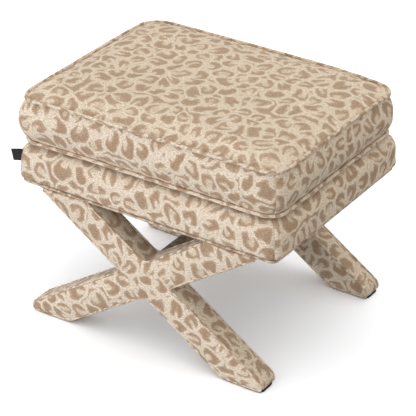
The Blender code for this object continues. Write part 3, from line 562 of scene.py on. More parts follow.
def threadRuns(name, runs, radius, material):
    # many short threads, wires or stitches in one mesh
    points, faces, corners, sides = [], [], [], 5
    for run in runs:
        line = np.array([tuple(p) for p in run])
        ahead = np.gradient(line, axis=0)
        ahead /= np.linalg.norm(ahead, axis=1, keepdims=True)
        side = np.cross(ahead[0], (0.0, 1.0, 0.0) if abs(ahead[0][1]) < 0.8 else (0.0, 0.0, 1.0))
        first = len(points)
        for place, along in zip(line, ahead):
            side = side - along * np.dot(side, along)
            side /= np.linalg.norm(side)
            up = np.cross(side, along)
            for turn in np.arange(sides) * math.tau / sides:
                points.append(place + radius * (side * math.cos(turn) + up * math.sin(turn)))
        for k in range(len(line) - 1):
            for s in range(sides):
                a, b = first + k * sides + s, first + k * sides + (s + 1) % sides
                faces.append([a, b, b + sides, a + sides])
                corners += [(k * radius, 0), (k * radius, radius), (k * radius + radius, radius),
                            (k * radius + radius, 0)]
        faces.append(list(range(first, first + sides))[::-1])
        faces.append(list(range(len(points) - sides, len(points))))
        corners += [(0.0, 0.0)] * (2 * sides)
    return addPiece(name, points, faces, corners, material)


def makePlate(name, ring, origin, u, v, thickness, edge, material):
    # an outline in the plane of u and v, thick along their cross product, its edges softened
    ring = np.array(ring, float)
    if thickness < 0:
        ring = ring[::-1]
    origin, u, v = (np.array(q, float) for q in (origin, u, v))
    tangent = np.roll(ring, -1, 0) - np.roll(ring, 1, 0)
    outward = np.column_stack((tangent[:, 1], -tangent[:, 0]))
    sign, thick = math.copysign(1, thickness), abs(thickness)
    outward = sign * outward / np.linalg.norm(outward, axis=1, keepdims=True)
    levels = [(0, 0), (0, thick)]
    if edge:
        levels = [(edge, 0), (0.3 * edge, 0.3 * edge), (0, edge), (0, thick - edge),
                  (0.3 * edge, thick - 0.3 * edge), (edge, thick)]
    points = []
    for inset, away in levels:
        points += [origin + a * u + b * v + sign * away * np.cross(u, v)
                   for a, b in ring - outward * inset]
    count, run = len(ring), runAlong(ring)
    faces, corners = [], []
    for k in range(len(levels) - 1):
        low, high = levels[k][1], levels[k + 1][1]
        for n in range(count):
            m = (n + 1) % count
            faces.append([k * count + n, k * count + m, (k + 1) * count + m, (k + 1) * count + n])
            corners += [(run[n], low), (run[n + 1], low), (run[n + 1], high), (run[n], high)]
    last = (len(levels) - 1) * count
    faces += [list(range(count))[::-1], list(range(last, last + count))]
    corners += [tuple(q) for q in (*ring[::-1], *ring)]
    item = addPiece(name, points, faces, corners, material)
    for flat in item.data.polygons[-2:]:
        flat.use_smooth = False
    return item


# Cushion: a loose box cushion, its boxing a little fuller than its welts

cushion = {
    "halfX": 303.8 * mm, "halfY": 230.7 * mm, "corner": 46 * mm, "spacing": 6 * mm, "rows": 17,
    "piping": 3.7 * mm, "waver": 0.10, "drawIn": 3 * mm, "bulge": 12 * mm, "crown": 14 * mm,
    "fullest": 0.40,         # how far up the boxing stands out most
    "seamInset": 4.2 * mm, "sideInset": 3.6 * mm,      # how far inside the welts it starts
    "underside": 2.4 * mm,   # how far the bottom panel lies below its seam
    "shift": (2.7 * mm, -2.3 * mm),    # it has slid a little forwards and to the right
    "pressure": 4.0, "slack": 0.012, "cap": 6 * mm, "frames": 20,
    "seamDip": 2.4 * mm, "pucker": 1.0 * mm, "unevenness": 0.6 * mm,
    # corners near right, far right, far left, near left: how far the top has sunk with use,
    # how far the filling has worked outwards, how far the top seam is pulled in, and the
    # distance over which each fades
    "sag": (2 * mm, 8 * mm, 3 * mm, 5 * mm), "sagReach": (48 * mm, 100 * mm, 48 * mm, 52 * mm),
    "spread": (0, 1 * mm, 1 * mm, 14 * mm), "tuck": (0, 2 * mm, 1 * mm, -4 * mm),
    "spreadReach": 85 * mm,
    # the slot between the two folds of the rear boxing, where the zip lies, and the
    # heights and ends between which the zip holds the boxing level
    "slotHalf": 6.2 * mm, "slotLength": 240 * mm,
    "held": 8 * mm, "heldFade": 15 * mm, "heldEnd": 30 * mm,
    "stitch": 3.2 * mm, "stitchStep": 4.4 * mm, "stitchThread": 0.32 * mm,
    "clothPlaces": ((0.11, 0.02), (0.53, 0.31), (0.87, 0.14), (0.29, 0.47)),
    "underPlace": 0.7,
}


def zipHeight():
    return sum(corner.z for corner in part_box("zip_coil")) / 2


def cushionRows(low, high, c):
    # (offset from the outline, height) from the bottom seam to the top seam
    p = c["piping"]
    rows = [(-c["drawIn"] - p - c["seamInset"], low + 1.4 * mm)]
    start, end = low + p + 0.2 * mm, high - p - 0.2 * mm
    # close rows at the zip let its slot have folded edges
    zipAt = (zipHeight() - start) / (end - start)
    reach = c["slotHalf"] / (end - start)
    shares = [k / c["rows"] for k in range(c["rows"] + 1)]
    shares = [s for s in shares if abs(s - zipAt) > reach + 0.03]
    shares += [zipAt + reach * part for part in (-1.25, -1.03, -0.95, 0, 0.95, 1.03, 1.25)]
    for share in sorted(shares):
        span = 1 - c["fullest"] if share > c["fullest"] else c["fullest"]
        bulge = c["bulge"] * (1 - abs((share - c["fullest"]) / span) ** 2.5)
        rows.append((-c["drawIn"] * (1 - share) - p - c["sideInset"] + bulge,
                     start + (end - start) * share))
    rows.append((-p - c["seamInset"], high - 1.4 * mm))
    return rows


def sink(points, low, high, c):
    # worn corners: the top goes down there, the bottom stays
    share = np.clip((points[:, 2] - low) / (high - low), 0, 1)
    part = (share - c["fullest"]) / (1 - c["fullest"])
    moved = points.copy()
    # the tape and coil hold the rear boxing level along the zip
    beside = (np.abs(points[:, 2] - zipHeight()) - c["held"]) / c["heldFade"]
    beyond = (np.abs(points[:, 0]) - c["slotLength"]) / c["heldEnd"]
    free = np.where(points[:, 1] > 0.9 * c["halfY"], np.clip(np.maximum(beside, beyond), 0, 1), 1)
    for (x, y), sag, reach, spread, tuck in zip(((1, -1), (1, 1), (-1, 1), (-1, -1)), c["sag"],
                                                c["sagReach"], c["spread"], c["tuck"]):
        away = np.hypot(points[:, 0] - x * c["halfX"], points[:, 1] - y * c["halfY"])
        moved[:, 2] -= sag * share * free * np.exp(-(away / reach) ** 2)
        near = np.exp(-(away / c["spreadReach"]) ** 2)
        push = (spread * (1 - part ** 2) * near - tuck * share ** 3 * near) * free
        moved[:, :2] += np.outer(push, (0.8 * x, 0.6 * y))
    moved[:, :2] += c["shift"]
    return moved


def makeCushion():
    c = cushion
    low = sum(p.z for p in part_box("cushion_bottom_piping")) / 2
    high = sum(p.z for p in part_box("cushion_top_piping")) / 2
    plan, normals, columns, along = planLoop(c["halfX"], c["halfY"], c["corner"], c["spacing"])
    count = len(plan)
    rows = cushionRows(low, high, c)
    points = [np.column_stack((plan + normals * offset, np.full(count, z))) for offset, z in rows]
    # behind the zip the rear boxing opens down to the foam
    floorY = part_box("zip_tape")[0].y - 0.4 * mm - c["shift"][1]
    slot = []
    for r, (offset, z) in enumerate(rows):
        fromZip = abs(z - zipHeight())
        for n in columns[1]:
            if abs(plan[n][0]) < c["slotLength"] and fromZip < 1.1 * c["slotHalf"]:
                slot.append(r * count + n)
                if fromZip < c["slotHalf"]:
                    points[r][n, 1] = floorY
    faces, corners = [], []
    layBands(rows, count, columns, along, c["clothPlaces"], faces, corners)
    edge = -c["piping"] - c["sideInset"]
    top = plan + normals * edge
    topGrid = coonsGrid(columns, top, along)
    topStart = len(rows) * count
    points.append(np.column_stack((top, np.full(count, high - 0.6 * mm))))
    innerStart = topStart + count
    topIds = patchNumbers(columns, topStart, innerStart)
    a = np.abs(np.linspace(-1, 1, topIds.shape[1]))[None, :]
    b = np.abs(np.linspace(-1, 1, topIds.shape[0]))[:, None]
    share = np.minimum((a ** 7 + b ** 7) ** (1 / 7), 1)
    rise = c["crown"] * (1 - share ** 4) ** 0.6
    points.append(np.dstack((topGrid, high + 0.5 * mm + rise))[1:-1, 1:-1].reshape(-1, 3))
    layPanel(topIds, topGrid, faces, corners)
    layStrips(topStart - count, topStart, top, columns, faces, corners)
    bottomStart = innerStart + len(points[-1])
    under = plan + normals * (edge - c["drawIn"])
    underZ = low - c["underside"]
    points.append(np.column_stack((under, np.full(count, underZ))))
    underGrid = coonsGrid(columns, under, along)
    underIds = patchNumbers(columns, bottomStart, bottomStart + count)
    flat = np.dstack((underGrid, np.full(underIds.shape, underZ)))
    points.append(flat[1:-1, 1:-1].reshape(-1, 3))
    layPanel(underIds, underGrid + c["underPlace"], faces, corners, flip=True)
    layStrips(bottomStart, 0, under + c["underPlace"], columns, faces, corners)

    points = np.vstack(points)
    item = addPiece("cushion_cover", points, faces, corners, leopard)
    held = [*range(2 * count), *range(topStart - 2 * count, innerStart),
            *range(bottomStart, len(points)), *slot]
    points = simulatePadding(item, held, c)
    points = finishCushion(points, faces, len(rows), count, columns, innerStart, slot, c)
    setPoints(item, sink(points, low, high, c))
    subdivide(item)
    settle(item, "cushion", "leopard_chenille", "cushion_band_right", "cushion_band_left",
           "cushion_band_front", "cushion_zip_band", "cushion_top_panel",
           "cushion_bottom_panel", "cushion_top_fibre", "cushion_foam")
    zipStitches(item, c)
    for label, inset, z, seed in (("top", 0, high, 0.13), ("bottom", c["drawIn"], low, 0.61)):
        ring = planLoop(c["halfX"] - inset - c["piping"], c["halfY"] - inset - c["piping"],
                        c["corner"] - inset - c["piping"], 4 * mm)[0]
        height = z + swayOf(ring, seed * 10) * 0.5 * mm
        line = sink(np.column_stack((ring, height)), low, high, c)
        cord = ropeAlong(f"cushion_{label}_welt", line, True, c["piping"], c["waver"], seed)
        settle(cord, "cushion", "leopard_chenille", f"cushion_{label}_piping")


def finishCushion(points, faces, rows, count, columns, innerStart, slot, c):
    # seams drawn in at the four corners, small puckers beside the welts, slow unevenness
    depth = c["unevenness"] * wander(points, 0.09, 3)
    drawSeams(depth, range(1, rows - 1), count, columns, c["seamDip"])
    for r in range(2, rows - 2):
        fade = math.exp(-((min(r, rows - 1 - r) - 1) / 1.8) ** 2)
        level = slice(r * count, (r + 1) * count)
        depth[level] += c["pucker"] * fade * wander(points[level] * (1, 1, 0.25), 0.011, 7)
    inner = slice(innerStart, innerStart + (len(columns[0]) - 2) * (len(columns[3]) - 2))
    top = points[inner]
    toEdge = np.minimum(c["halfX"] - np.abs(top[:, 0]), c["halfY"] - np.abs(top[:, 1]))
    depth[inner] += c["pucker"] * np.exp(-(toEdge / 0.017) ** 2) * wander(top, 0.012, 11)
    held = np.ones(len(points), bool)
    held[count:(rows - 1) * count] = False
    held[inner] = False
    held[slot] = True
    depth[held] = 0
    return pushOut(points, faces, depth)


def zipStitches(cover, c):
    # one row of stitches above the slot and one below, lying on the boxing
    runs = []
    reach = c["slotLength"] - 4 * mm
    ends = ((0, -0.5 * mm), (0.4 * mm, 0.15 * mm), (c["stitch"] - 0.4 * mm, 0.15 * mm),
            (c["stitch"], -0.5 * mm))
    for away in (-1.55 * c["slotHalf"], 1.55 * c["slotHalf"]):
        z = zipHeight() + away
        for x in np.arange(-reach, reach, c["stitchStep"]):
            run = []
            for along, lift in ends:
                hit, place = cover.ray_cast((x + along, 0.4, z), (0, -1, 0))[:2]
                if hit:
                    run.append(place + Vector((0, lift, 0)))
            if len(run) == len(ends):
                runs.append(run)
    stitches = threadRuns("zip_stitches", runs, c["stitchThread"], thread)
    settle(stitches, "cushion", "zip_tape")


makeCushion()
print("cushion made")


# Zip in the rear boxing: woven tape, two coils that mesh, and a slider with its tab

zipper = {
    "turn": 2.0 * mm,        # real turns are 1.4 mm apart, drawn coarser so that they show
    "steps": 8, "wire": 0.42 * mm, "loop": 1.35 * mm, "apart": 1.0 * mm,
    # half of the tape's section in mm and shares of its thickness: flat, with a cord at the
    # inner edge where the coil is sewn on
    "section": ((3.6, 0.85), (2.8, 1.3), (1.6, 1.3), (0.8, 0.8)),
    # the slider seen from behind, in mm: a shield, wider where the coils part
    "shield": ((4.1, 0.5), (3.2, -3.2), (2.4, -4.7), (1.2, -5.0), (-1.2, -5.0), (-2.4, -4.7),
               (-3.2, -3.2), (-4.1, 0.5), (-4.1, 3.4), (-3.4, 4.6), (-1.2, 5.0), (1.2, 5.0),
               (3.4, 4.6), (4.1, 3.4)),
    "plate": 1.1 * mm, "plateEdge": 0.35 * mm,
    "bridge": ((-3.2, -0.4), (-2.8, 0.9), (-1.2, 1.5), (1.2, 1.5), (2.8, 0.9), (3.2, -0.4)),
    "bridgeWire": 0.6 * mm,
    "tab": (2.4 * mm, 9 * mm), "tabThickness": 0.9 * mm, "tabEdge": 0.25 * mm, "tabAt": 8.2 * mm,
}


def makeZip():
    c = zipper
    low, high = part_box("zip_tape")
    middle = (low.z + high.z) / 2
    half, thick = (high.z - low.z) / 2, high.y - low.y
    face = [(half, 0.8), (half - 1 * mm, 1.0)] + [(a * mm, share) for a, share in c["section"]]
    face += [(-a, share) for a, share in reversed(face)]
    ring = [(a, share * thick) for a, share in face] + [(-half, 0), (0, 0), (half, 0)]
    tape = makePlate("zip_tape_woven", ring, (low.x, low.y, middle), (0, 0, 1), (0, 1, 0),
                     low.x - high.x, 0, zipTwill)
    settle(tape, "cushion", "zip_tape", "zip_tape")

    low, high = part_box("zip_coil")
    middle = (low.z + high.z) / 2
    deep = (high.y - low.y) / 2 - c["wire"]
    runs = []
    for sign, start in ((-1, 0.75), (1, 0.25)):
        path = []
        for k in range(int((high.x - low.x) / c["turn"]) * c["steps"]):
            turn = math.tau * k / c["steps"]
            path.append((low.x + c["turn"] * (k / c["steps"] + start) / 1.01,
                         (low.y + high.y) / 2 + deep * math.sin(turn),
                         middle + sign * (c["apart"] + c["loop"] * math.cos(turn))))
        runs.append(path)
    coil = threadRuns("zip_coil_turns", runs, c["wire"], coilNylon)
    settle(coil, "cushion", "nylon_coil", "zip_coil")

    low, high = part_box("zip_slider")
    x, z = (low.x + high.x) / 2, (low.z + high.z) / 2
    body = makePlate("zip_slider_body", np.array(c["shield"]) * mm, (x, high.y - c["plate"], z),
                     (0, 0, 1), (1, 0, 0), c["plate"], c["plateEdge"], platedSteel)
    settle(body, "zip_slider", "zinc_plated_steel", "zip_slider")
    arch = [(x + a * mm, high.y + b * mm, z) for a, b in c["bridge"]]
    bridge = threadRuns("zip_slider_bridge", [arch], c["bridgeWire"], platedSteel)
    settle(bridge, "zip_slider", "zinc_plated_steel")
    oval = []
    for turn in np.arange(28) * math.tau / 28:
        a, b = math.cos(turn), math.sin(turn)
        oval.append((c["tab"][0] * math.copysign(abs(a) ** 0.6, a),
                     c["tab"][1] * math.copysign(abs(b) ** 0.6, b)))
    tab = makePlate("zip_pull_tab", oval, (x + c["tabAt"], high.y + 0.35 * mm, z), (0, 0, 1),
                    (1, 0, 0), c["tabThickness"], c["tabEdge"], platedSteel)
    settle(tab, "zip_slider", "zinc_plated_steel")


makeZip()
print("zip made")


# Base box: padded sides rolled over at the top, hem turned under

base = {
    "halfX": 300 * mm, "halfY": 231 * mm, "corner": 26 * mm, "spacing": 7 * mm, "levels": 10,
    "piping": 2.75 * mm, "waver": 0.10, "bulge": 11 * mm,
    "fullest": 0.28,         # how far up the padded side has swelled out fully
    "roll": 38 * mm, "rollHeight": 32 * mm,      # how far in and down the rolled edge reaches
    "border": 52 * mm, "mitre": 4 * mm,
    "hem": 26 * mm, "cloth": 1.2 * mm, "seamDip": 2.6 * mm, "overhang": 1.5 * mm,
    "unevenness": 0.8 * mm, "pucker": 0.7 * mm,
    "edgeDrop": 6 * mm,      # the padded edge lies lower than the platform
    "sharper": 12 * mm,      # how much tighter the corners are at the welt than higher up
    "clothPlaces": ((0.21, 0.62), (0.43, 0.11), (0.77, 0.84), (0.05, 0.33)),
}


def sharpen(normals, amount):
    # moves the points of each corner out to a smaller radius
    signs = np.sign(np.round(normals, 6))
    bent = (np.abs(signs).min(axis=1) > 0)[:, None]
    return np.where(bent, amount * (signs - normals), 0)


def makeBase():
    c = base
    p = c["piping"]
    bottom, top = (corner.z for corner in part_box("base_cover_front"))
    welt = sum(q.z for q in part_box("base_piping")) / 2
    # (offset from the outline, height): hem, welt, padded side, rolled edge, border
    rows = [(-c["hem"], bottom), (-c["hem"] + 8 * mm, bottom), (-3.2 * p, bottom),
            (-2 * p - 0.6 * mm, bottom + 0.6 * mm), (-2 * p - 1.5 * mm, welt),
            (-p - 2.6 * mm, welt + p + 0.1 * mm)]
    low, high = welt + p + 0.35 * mm, top - c["edgeDrop"] - c["rollHeight"]
    for k in range(c["levels"] + 1):
        share = k / c["levels"]
        bulge = 1 - abs(1 - min(share / c["fullest"], 1)) ** 2.5
        rows.append((-p - 1.5 * mm + (p + 1.5 * mm + c["bulge"]) * bulge,
                     low + (high - low) * share))
    for degrees in range(15, 91, 15):
        turn = math.radians(degrees)
        rows.append((c["bulge"] - c["roll"] * (1 - math.cos(turn)),
                     high + c["rollHeight"] * math.sin(turn)))
    rows += [(-c["border"] * share, top - drop * c["edgeDrop"]) for share, drop in
             ((0.6, 0.85), (0.7, 0.5), (0.8, 0.15), (0.95, 0), (1.0, 0))]
    plan, normals, columns, along = planLoop(c["halfX"], c["halfY"], c["corner"], c["spacing"])
    count = len(plan)
    points = []
    for offset, z in rows:
        # past the corner radius the border is mitred, as a folded corner is
        extra = -(offset + c["corner"] - c["mitre"])
        if extra > 0:
            half = np.array((c["halfX"], c["halfY"])) + offset
            ring = (plan - normals * (c["corner"] - c["mitre"])) * (half / (half + extra))
        else:
            climbed = max(0, min(1, (z - low) / (0.6 * (high - low))))
            ring = plan + normals * offset
            if offset > -2.5 * p:
                ring = ring + sharpen(normals, c["sharper"] * (1 - climbed) ** 1.5)
        points.append(np.column_stack((ring, np.full(count, z))))
    points = np.vstack(points)
    faces, corners = [], []
    layBands(rows, count, columns, along, c["clothPlaces"], faces, corners)
    depth = c["unevenness"] * wander(points, 0.08, 19)
    drawSeams(depth, range(6, len(rows) - 3), count, columns, c["seamDip"])
    depth[:6 * count] = 0
    depth[(len(rows) - 5) * count:] = 0
    for r in range(7, 11):
        level = slice(r * count, (r + 1) * count)
        fade = math.exp(-((r - 7) / 1.6) ** 2)
        depth[level] += c["pucker"] * fade * wander(points[level] * (1, 1, 0.25), 0.013, 23)
    points = pushOut(points, faces, depth)
    item = addPiece("base_cover", points, faces, corners, leopard)
    subdivide(item)
    thick = item.modifiers.new("cloth", "SOLIDIFY")
    thick.thickness = c["cloth"]
    thick.offset = -1
    settle(item, "base", "leopard_chenille", "base_cover_front", "base_cover_rear",
           "base_cover_left", "base_cover_right", "base_side_wadding", "base_top_foam")
    inset = p - c["overhang"]
    ring = planLoop(c["halfX"] - inset, c["halfY"] - inset, c["corner"] - inset - c["sharper"],
                    4 * mm)[0]
    line = np.column_stack((ring, welt + np.maximum(swayOf(ring, 31), -0.6) * 0.4 * mm))
    cord = ropeAlong("base_welt", line, True, p, c["waver"], 0.37)
    settle(cord, "base", "leopard_chenille", "base_piping")


makeBase()
print("base made")


# Legs: each X is one wrapped form, its faces domed a little over the wadding

leg = {
    "top": 300.6 * mm, "depth": 49.4 * mm, "width": 66.5 * mm, "face": 232.4 * mm, "edge": 6 * mm,
    "crossing": 168 * mm, "leftInset": 44.9 * mm, "rightInset": 35.8 * mm,
    "crotch": 20 * mm, "sideCrotch": 2 * mm, "noseTop": 21.5 * mm,
    "noseUpper": 16.5 * mm, "noseLower": 8.5 * mm, "heel": 46 * mm,
    "foot": 2.6 * mm, "footInset": 8 * mm, "spacing": 6 * mm, "arcSteps": 5,
    "dome": 3.2 * mm, "swell": 1.2 * mm,         # how full the faces and sides are
    "insets": 7, "strips": 6,                    # rings over each face and down each side
    "rearPlace": 0.4, "stripPlace": 0.3,         # where the rear face and sides lie on the cloth
    "piping": 2.3 * mm, "waver": 0.08, "weltSpacing": 4 * mm, "weltArcSteps": 6,
    "proud": 0.35,          # how far a welt's middle stands off the rounded edge, in its radii
}


def barSlope(inset):
    # rise over run of a bar from the crossing to the arm that stands so far inside the base
    reach, rise, half = base["halfX"] - inset, leg["top"] - leg["crossing"], leg["width"] / 2
    root = math.sqrt(reach ** 2 + rise ** 2 - half ** 2)
    return (rise * reach + half * root) / (reach ** 2 - half ** 2)


slopes = {"left": barSlope(leg["rightInset"]), "right": barSlope(leg["leftInset"])}


def xCorners(inset, top):
    # (x, z, radius) round a whole X, drawn in by the inset; toes stop where the bar thins out
    c = leg
    bars = {}
    for foot, slope in slopes.items():
        lean = math.hypot(1, slope)
        half = (c["width"] / 2 - inset) * lean
        low = c["foot"] + min(inset, c["footInset"])
        toe = (c["crossing"] + c["width"] / 2 * lean - c["noseTop"]) / slope - min(inset, c["footInset"])
        toe = min(toe, (c["crossing"] + half - low - 1.5 * mm) / slope)
        bars[foot] = {"slope": slope, "half": half, "low": low, "toe": toe,
                      "toeTop": c["crossing"] + half - slope * toe,
                      "heel": (c["crossing"] - half - low) / slope}
    left, right = bars["left"], bars["right"]
    total = left["slope"] + right["slope"]
    upper, lower, heel = (max(c[part] - inset, 0.3 * mm) for part in
                          ("noseUpper", "noseLower", "heel"))
    wide, tight = c["crotch"] + inset, c["sideCrotch"] + inset

    def meet(sign, upDown):
        if upDown:
            x = sign * (right["half"] - left["half"]) / total
            return x, c["crossing"] + left["slope"] * x + sign * left["half"]
        x = sign * (left["half"] + right["half"]) / total
        return x, c["crossing"] + left["slope"] * x - sign * left["half"]

    def armAt(bar, sign):
        return (top - c["crossing"] + sign * bar["half"]) / bar["slope"]

    return [
        (*meet(-1, True), wide),
        (right["heel"], right["low"], heel),
        (right["toe"], right["low"], lower),
        (right["toe"], right["toeTop"], upper),
        (*meet(1, False), tight),
        (armAt(left, 1), top, 0),
        (armAt(left, -1), top, 0),
        (*meet(1, True), wide),
        (-armAt(right, -1), top, 0),
        (-armAt(right, 1), top, 0),
        (*meet(-1, False), tight),
        (-left["toe"], left["toeTop"], upper),
        (-left["toe"], left["low"], lower),
        (-left["heel"], left["low"], heel),
    ]


def roundedRuns(corners, spacing, arcSteps, counts=None, closed=True):
    # arcs and straight runs with the same number of points for every inset of one outline
    arcs = []
    total = len(corners)
    for index, (x, z, radius) in enumerate(corners):
        here = np.array((x, z))
        if radius <= 0 or (not closed and index in (0, total - 1)):
            arcs.append(np.array([here]))
            continue
        back = np.array(corners[index - 1][:2]) - here
        ahead = np.array(corners[(index + 1) % total][:2]) - here
        back, ahead = back / np.linalg.norm(back), ahead / np.linalg.norm(ahead)
        half = math.acos(max(-1, min(1, float(back @ ahead)))) / 2
        middle = (back + ahead) / np.linalg.norm(back + ahead)
        centre = here + middle * radius / math.sin(half)
        first = here + back * radius / math.tan(half) - centre
        last = here + ahead * radius / math.tan(half) - centre
        start = math.atan2(first[1], first[0])
        turn = (math.atan2(last[1], last[0]) - start + math.pi) % math.tau - math.pi
        arcs.append(np.array([centre + radius * np.array((math.cos(start + turn * k / arcSteps),
                                                          math.sin(start + turn * k / arcSteps)))
                              for k in range(arcSteps + 1)]))
    made, used = [], []
    for index, arc in enumerate(arcs):
        made.extend(arc)
        if not closed and index == total - 1:
            break
        following = arcs[(index + 1) % total][0]
        steps = max(1, round(math.dist(arc[-1], following) / spacing))
        if counts:
            steps = counts[index]
        used.append(steps)
        made.extend(arc[-1] + (following - arc[-1]) * k / steps for k in range(1, steps))
    return np.array(made), used


def makeLegFrame(name, side, clothShift):
    c = leg
    shape = partial(roundedRuns, spacing=c["spacing"], arcSteps=c["arcSteps"])
    outline, counts = shape(xCorners(0, c["top"]))
    run = runAlong(outline)
    count = len(outline)
    # across the wrap: in over the domed face, round its edge, down the side and back
    inner = c["width"] / 2 - 1.2 * mm
    stations = [(c["edge"] + (inner - c["edge"]) * k / c["insets"], 0, "face")
                for k in range(c["insets"], 0, -1)]
    for angle in (90, 60, 45, 30, 0):
        a = math.radians(angle)
        stations.append((c["edge"] * (1 - math.cos(a)), c["edge"] * (1 - math.sin(a)), "edge"))
    seam = c["insets"] + 2
    mirrored = [(inset, c["depth"] - along, kind) for inset, along, kind in reversed(stations)]
    stations += [(0, c["edge"] + (c["depth"] - 2 * c["edge"]) * k / c["strips"], "strip")
                 for k in range(1, c["strips"])]
    stations += mirrored
    rings = []
    for inset, along, kind in stations:
        dome = c["dome"] * (1 - (1 - max(inset - c["edge"], 0) / (inner - c["edge"])) ** 2)
        away = dome if along < c["depth"] / 2 else -dome
        if kind == "strip":
            inset = -c["swell"] * (1 - (2 * along / c["depth"] - 1) ** 4)
        plan = shape(xCorners(inset, c["top"]), counts=counts)[0]
        y = side * (c["face"] - along + away)
        rings.append(np.column_stack((plan[:, 0], np.full(count, y), plan[:, 1])))
    points = np.vstack(rings)
    faces, corners = [], []
    last = len(stations) - 1
    wrap = [*range(count), 0]
    for start, end, kind in ((0, seam, "front"), (seam, last - seam, "strip"),
                             (last - seam, last, "rear")):
        ids = np.array([[r * count + n for n in wrap] for r in range(start, end + 1)])
        if kind == "strip":
            cloth = np.array([[(s + clothShift, stations[r][1] + c["stripPlace"]) for s in run]
                              for r in range(start, end + 1)])
        else:
            shift = clothShift + (c["rearPlace"] if kind == "rear" else 0)
            cloth = np.array([[(points[n][0] + shift, points[n][2] + clothShift) for n in row]
                              for row in ids])
        layPanel(ids, cloth, faces, corners, flip=side > 0)
    # close both faces along the middle of the bars
    for ring, flip in ((0, side < 0), (last, side > 0)):
        flat = [Vector((p[0], p[2], 0)) for p in rings[ring]]
        shift = clothShift + (c["rearPlace"] if ring else 0)
        for triangle in geometry.tessellate_polygon([flat]):
            trio = list(triangle)
            a, b, d = (flat[k] for k in trio)
            if ((b - a).cross(d - a).z > 0) == flip:
                trio.reverse()
            faces.append([ring * count + k for k in trio])
            corners.extend((flat[k].x + shift, flat[k].y + clothShift) for k in trio)
    item = addPiece(f"{name}_wrap", points, faces, corners, leopard)
    settle(item, "base", "leopard_chenille", f"{name}_cover", f"{name}_wadding")
    makeLegWelts(name, side, clothShift)


def makeLegWelts(name, side, clothShift):
    c = leg
    out = (c["edge"] + c["proud"] * c["piping"]) / math.sqrt(2) - c["edge"]
    corners = xCorners(-out, c["top"] - 2 * c["piping"])
    for label, run in (("lower", corners[9:] + corners[:6]), ("upper", corners[6:9])):
        line = roundedRuns(run, c["weltSpacing"], c["weltArcSteps"], closed=False)[0]
        for face, y in (("outer", c["face"] + out), ("inner", c["face"] - c["depth"] - out)):
            path = np.column_stack((line[:, 0], np.full(len(line), side * y), line[:, 1]))
            cord = ropeAlong(f"{name}_{face}_{label}_welt", path, False, c["piping"],
                             c["waver"], clothShift + 0.2, sides=8)
            nodes = [f"{name}_{label}_piping"] if face == "outer" else []
            settle(cord, "base", "leopard_chenille", *nodes)


makeLegFrame("front_leg", -1, 0.17)
makeLegFrame("rear_leg", 1, 0.71)
print("legs made")


# Stretcher: a padded sleeve between the crossings

stretcher = {"halfX": 25 * mm, "halfZ": 21.5 * mm, "round": 8 * mm, "spacing": 7 * mm,
             "swell": 0.8 * mm, "clothPlace": 0.4}


def makeStretcher():
    c = stretcher
    low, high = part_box("stretcher_cover")
    middle = (low.z + high.z) / 2
    ring, normals = planLoop(c["halfX"], c["halfZ"], c["round"], 4 * mm)[:2]
    count = len(ring)
    steps = round((high.y - low.y) / c["spacing"])
    points = []
    for k in range(steps + 1):
        y = low.y + (high.y - low.y) * k / steps
        swell = c["swell"] * (1 - abs(2 * k / steps - 1) ** 6)
        loop = ring + normals * (swell - c["swell"])
        points.append(np.column_stack((loop[:, 0], np.full(count, y), middle + loop[:, 1])))
    faces, corners = [], []
    run = runAlong(ring)
    ids = np.array([[r * count + n for n in (*range(count), 0)] for r in range(steps + 1)])
    cloth = np.array([[(s + c["clothPlace"], c["spacing"] * r) for s in run]
                      for r in range(steps + 1)])
    layPanel(ids, cloth, faces, corners, flip=True)
    faces += [list(range(count)), list(range(steps * count, (steps + 1) * count))[::-1]]
    corners += [(c["clothPlace"], 0.0)] * (2 * count)
    item = addPiece("stretcher_wrap", np.vstack(points), faces, corners, leopard)
    settle(item, "base", "leopard_chenille", "stretcher_cover", "stretcher_wadding")


makeStretcher()
print("stretcher made")


# CAD nodes that keep their own shape

finishes = {
    "front_rail": softwoodX, "rear_rail": softwoodX, "left_rail": softwoodY,
    "right_rail": softwoodY, "_left_foot_bar": beechRising, "_right_foot_bar": beechFalling,
    "_cleat": beechX, "_bolt_": platedSteel, "stretcher_core": beechY, "deck_board": plywood,
}


def dress(node, material):
    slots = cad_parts[node].data.materials
    if len(slots) == 0:
        slots.append(material)
    for k in range(len(slots)):
        slots[k] = material


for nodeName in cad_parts:
    for part, finish in finishes.items():
        if part in nodeName:
            dress(nodeName, finish)
print("frame dressed")


# Small parts: felt pads, woven tag, lining on the deck, dust cover and its staples

small = {
    # the pads reach nearly to the foot's rim, so their black is partly real felt and partly painted
    # contact shadow
    "padMargin": 1.2 * mm, "padLonger": 4 * mm, "padEdge": 0.5 * mm, "padCorner": 11 * mm,
    "tagLength": 21 * mm, "tagHeight": 27 * mm, "tagThickness": 0.55 * mm, "tagCloth": 0.35 * mm,
    "tagTurn": 9, "tagSteps": 10, "tagCaught": 2 * mm, "tagCurl": (2.2 * mm, 0.8 * mm),
    "sheetThickness": 0.5 * mm, "sheetStep": 12 * mm, "ripple": 0.25 * mm,
    "staple": 10 * mm, "stapleWire": 0.45 * mm, "stapleSpacing": 42 * mm, "stapleIn": 6 * mm,
    "stapleLeg": 4 * mm, "stapleBend": (0.6 * mm, 0.8 * mm),
}


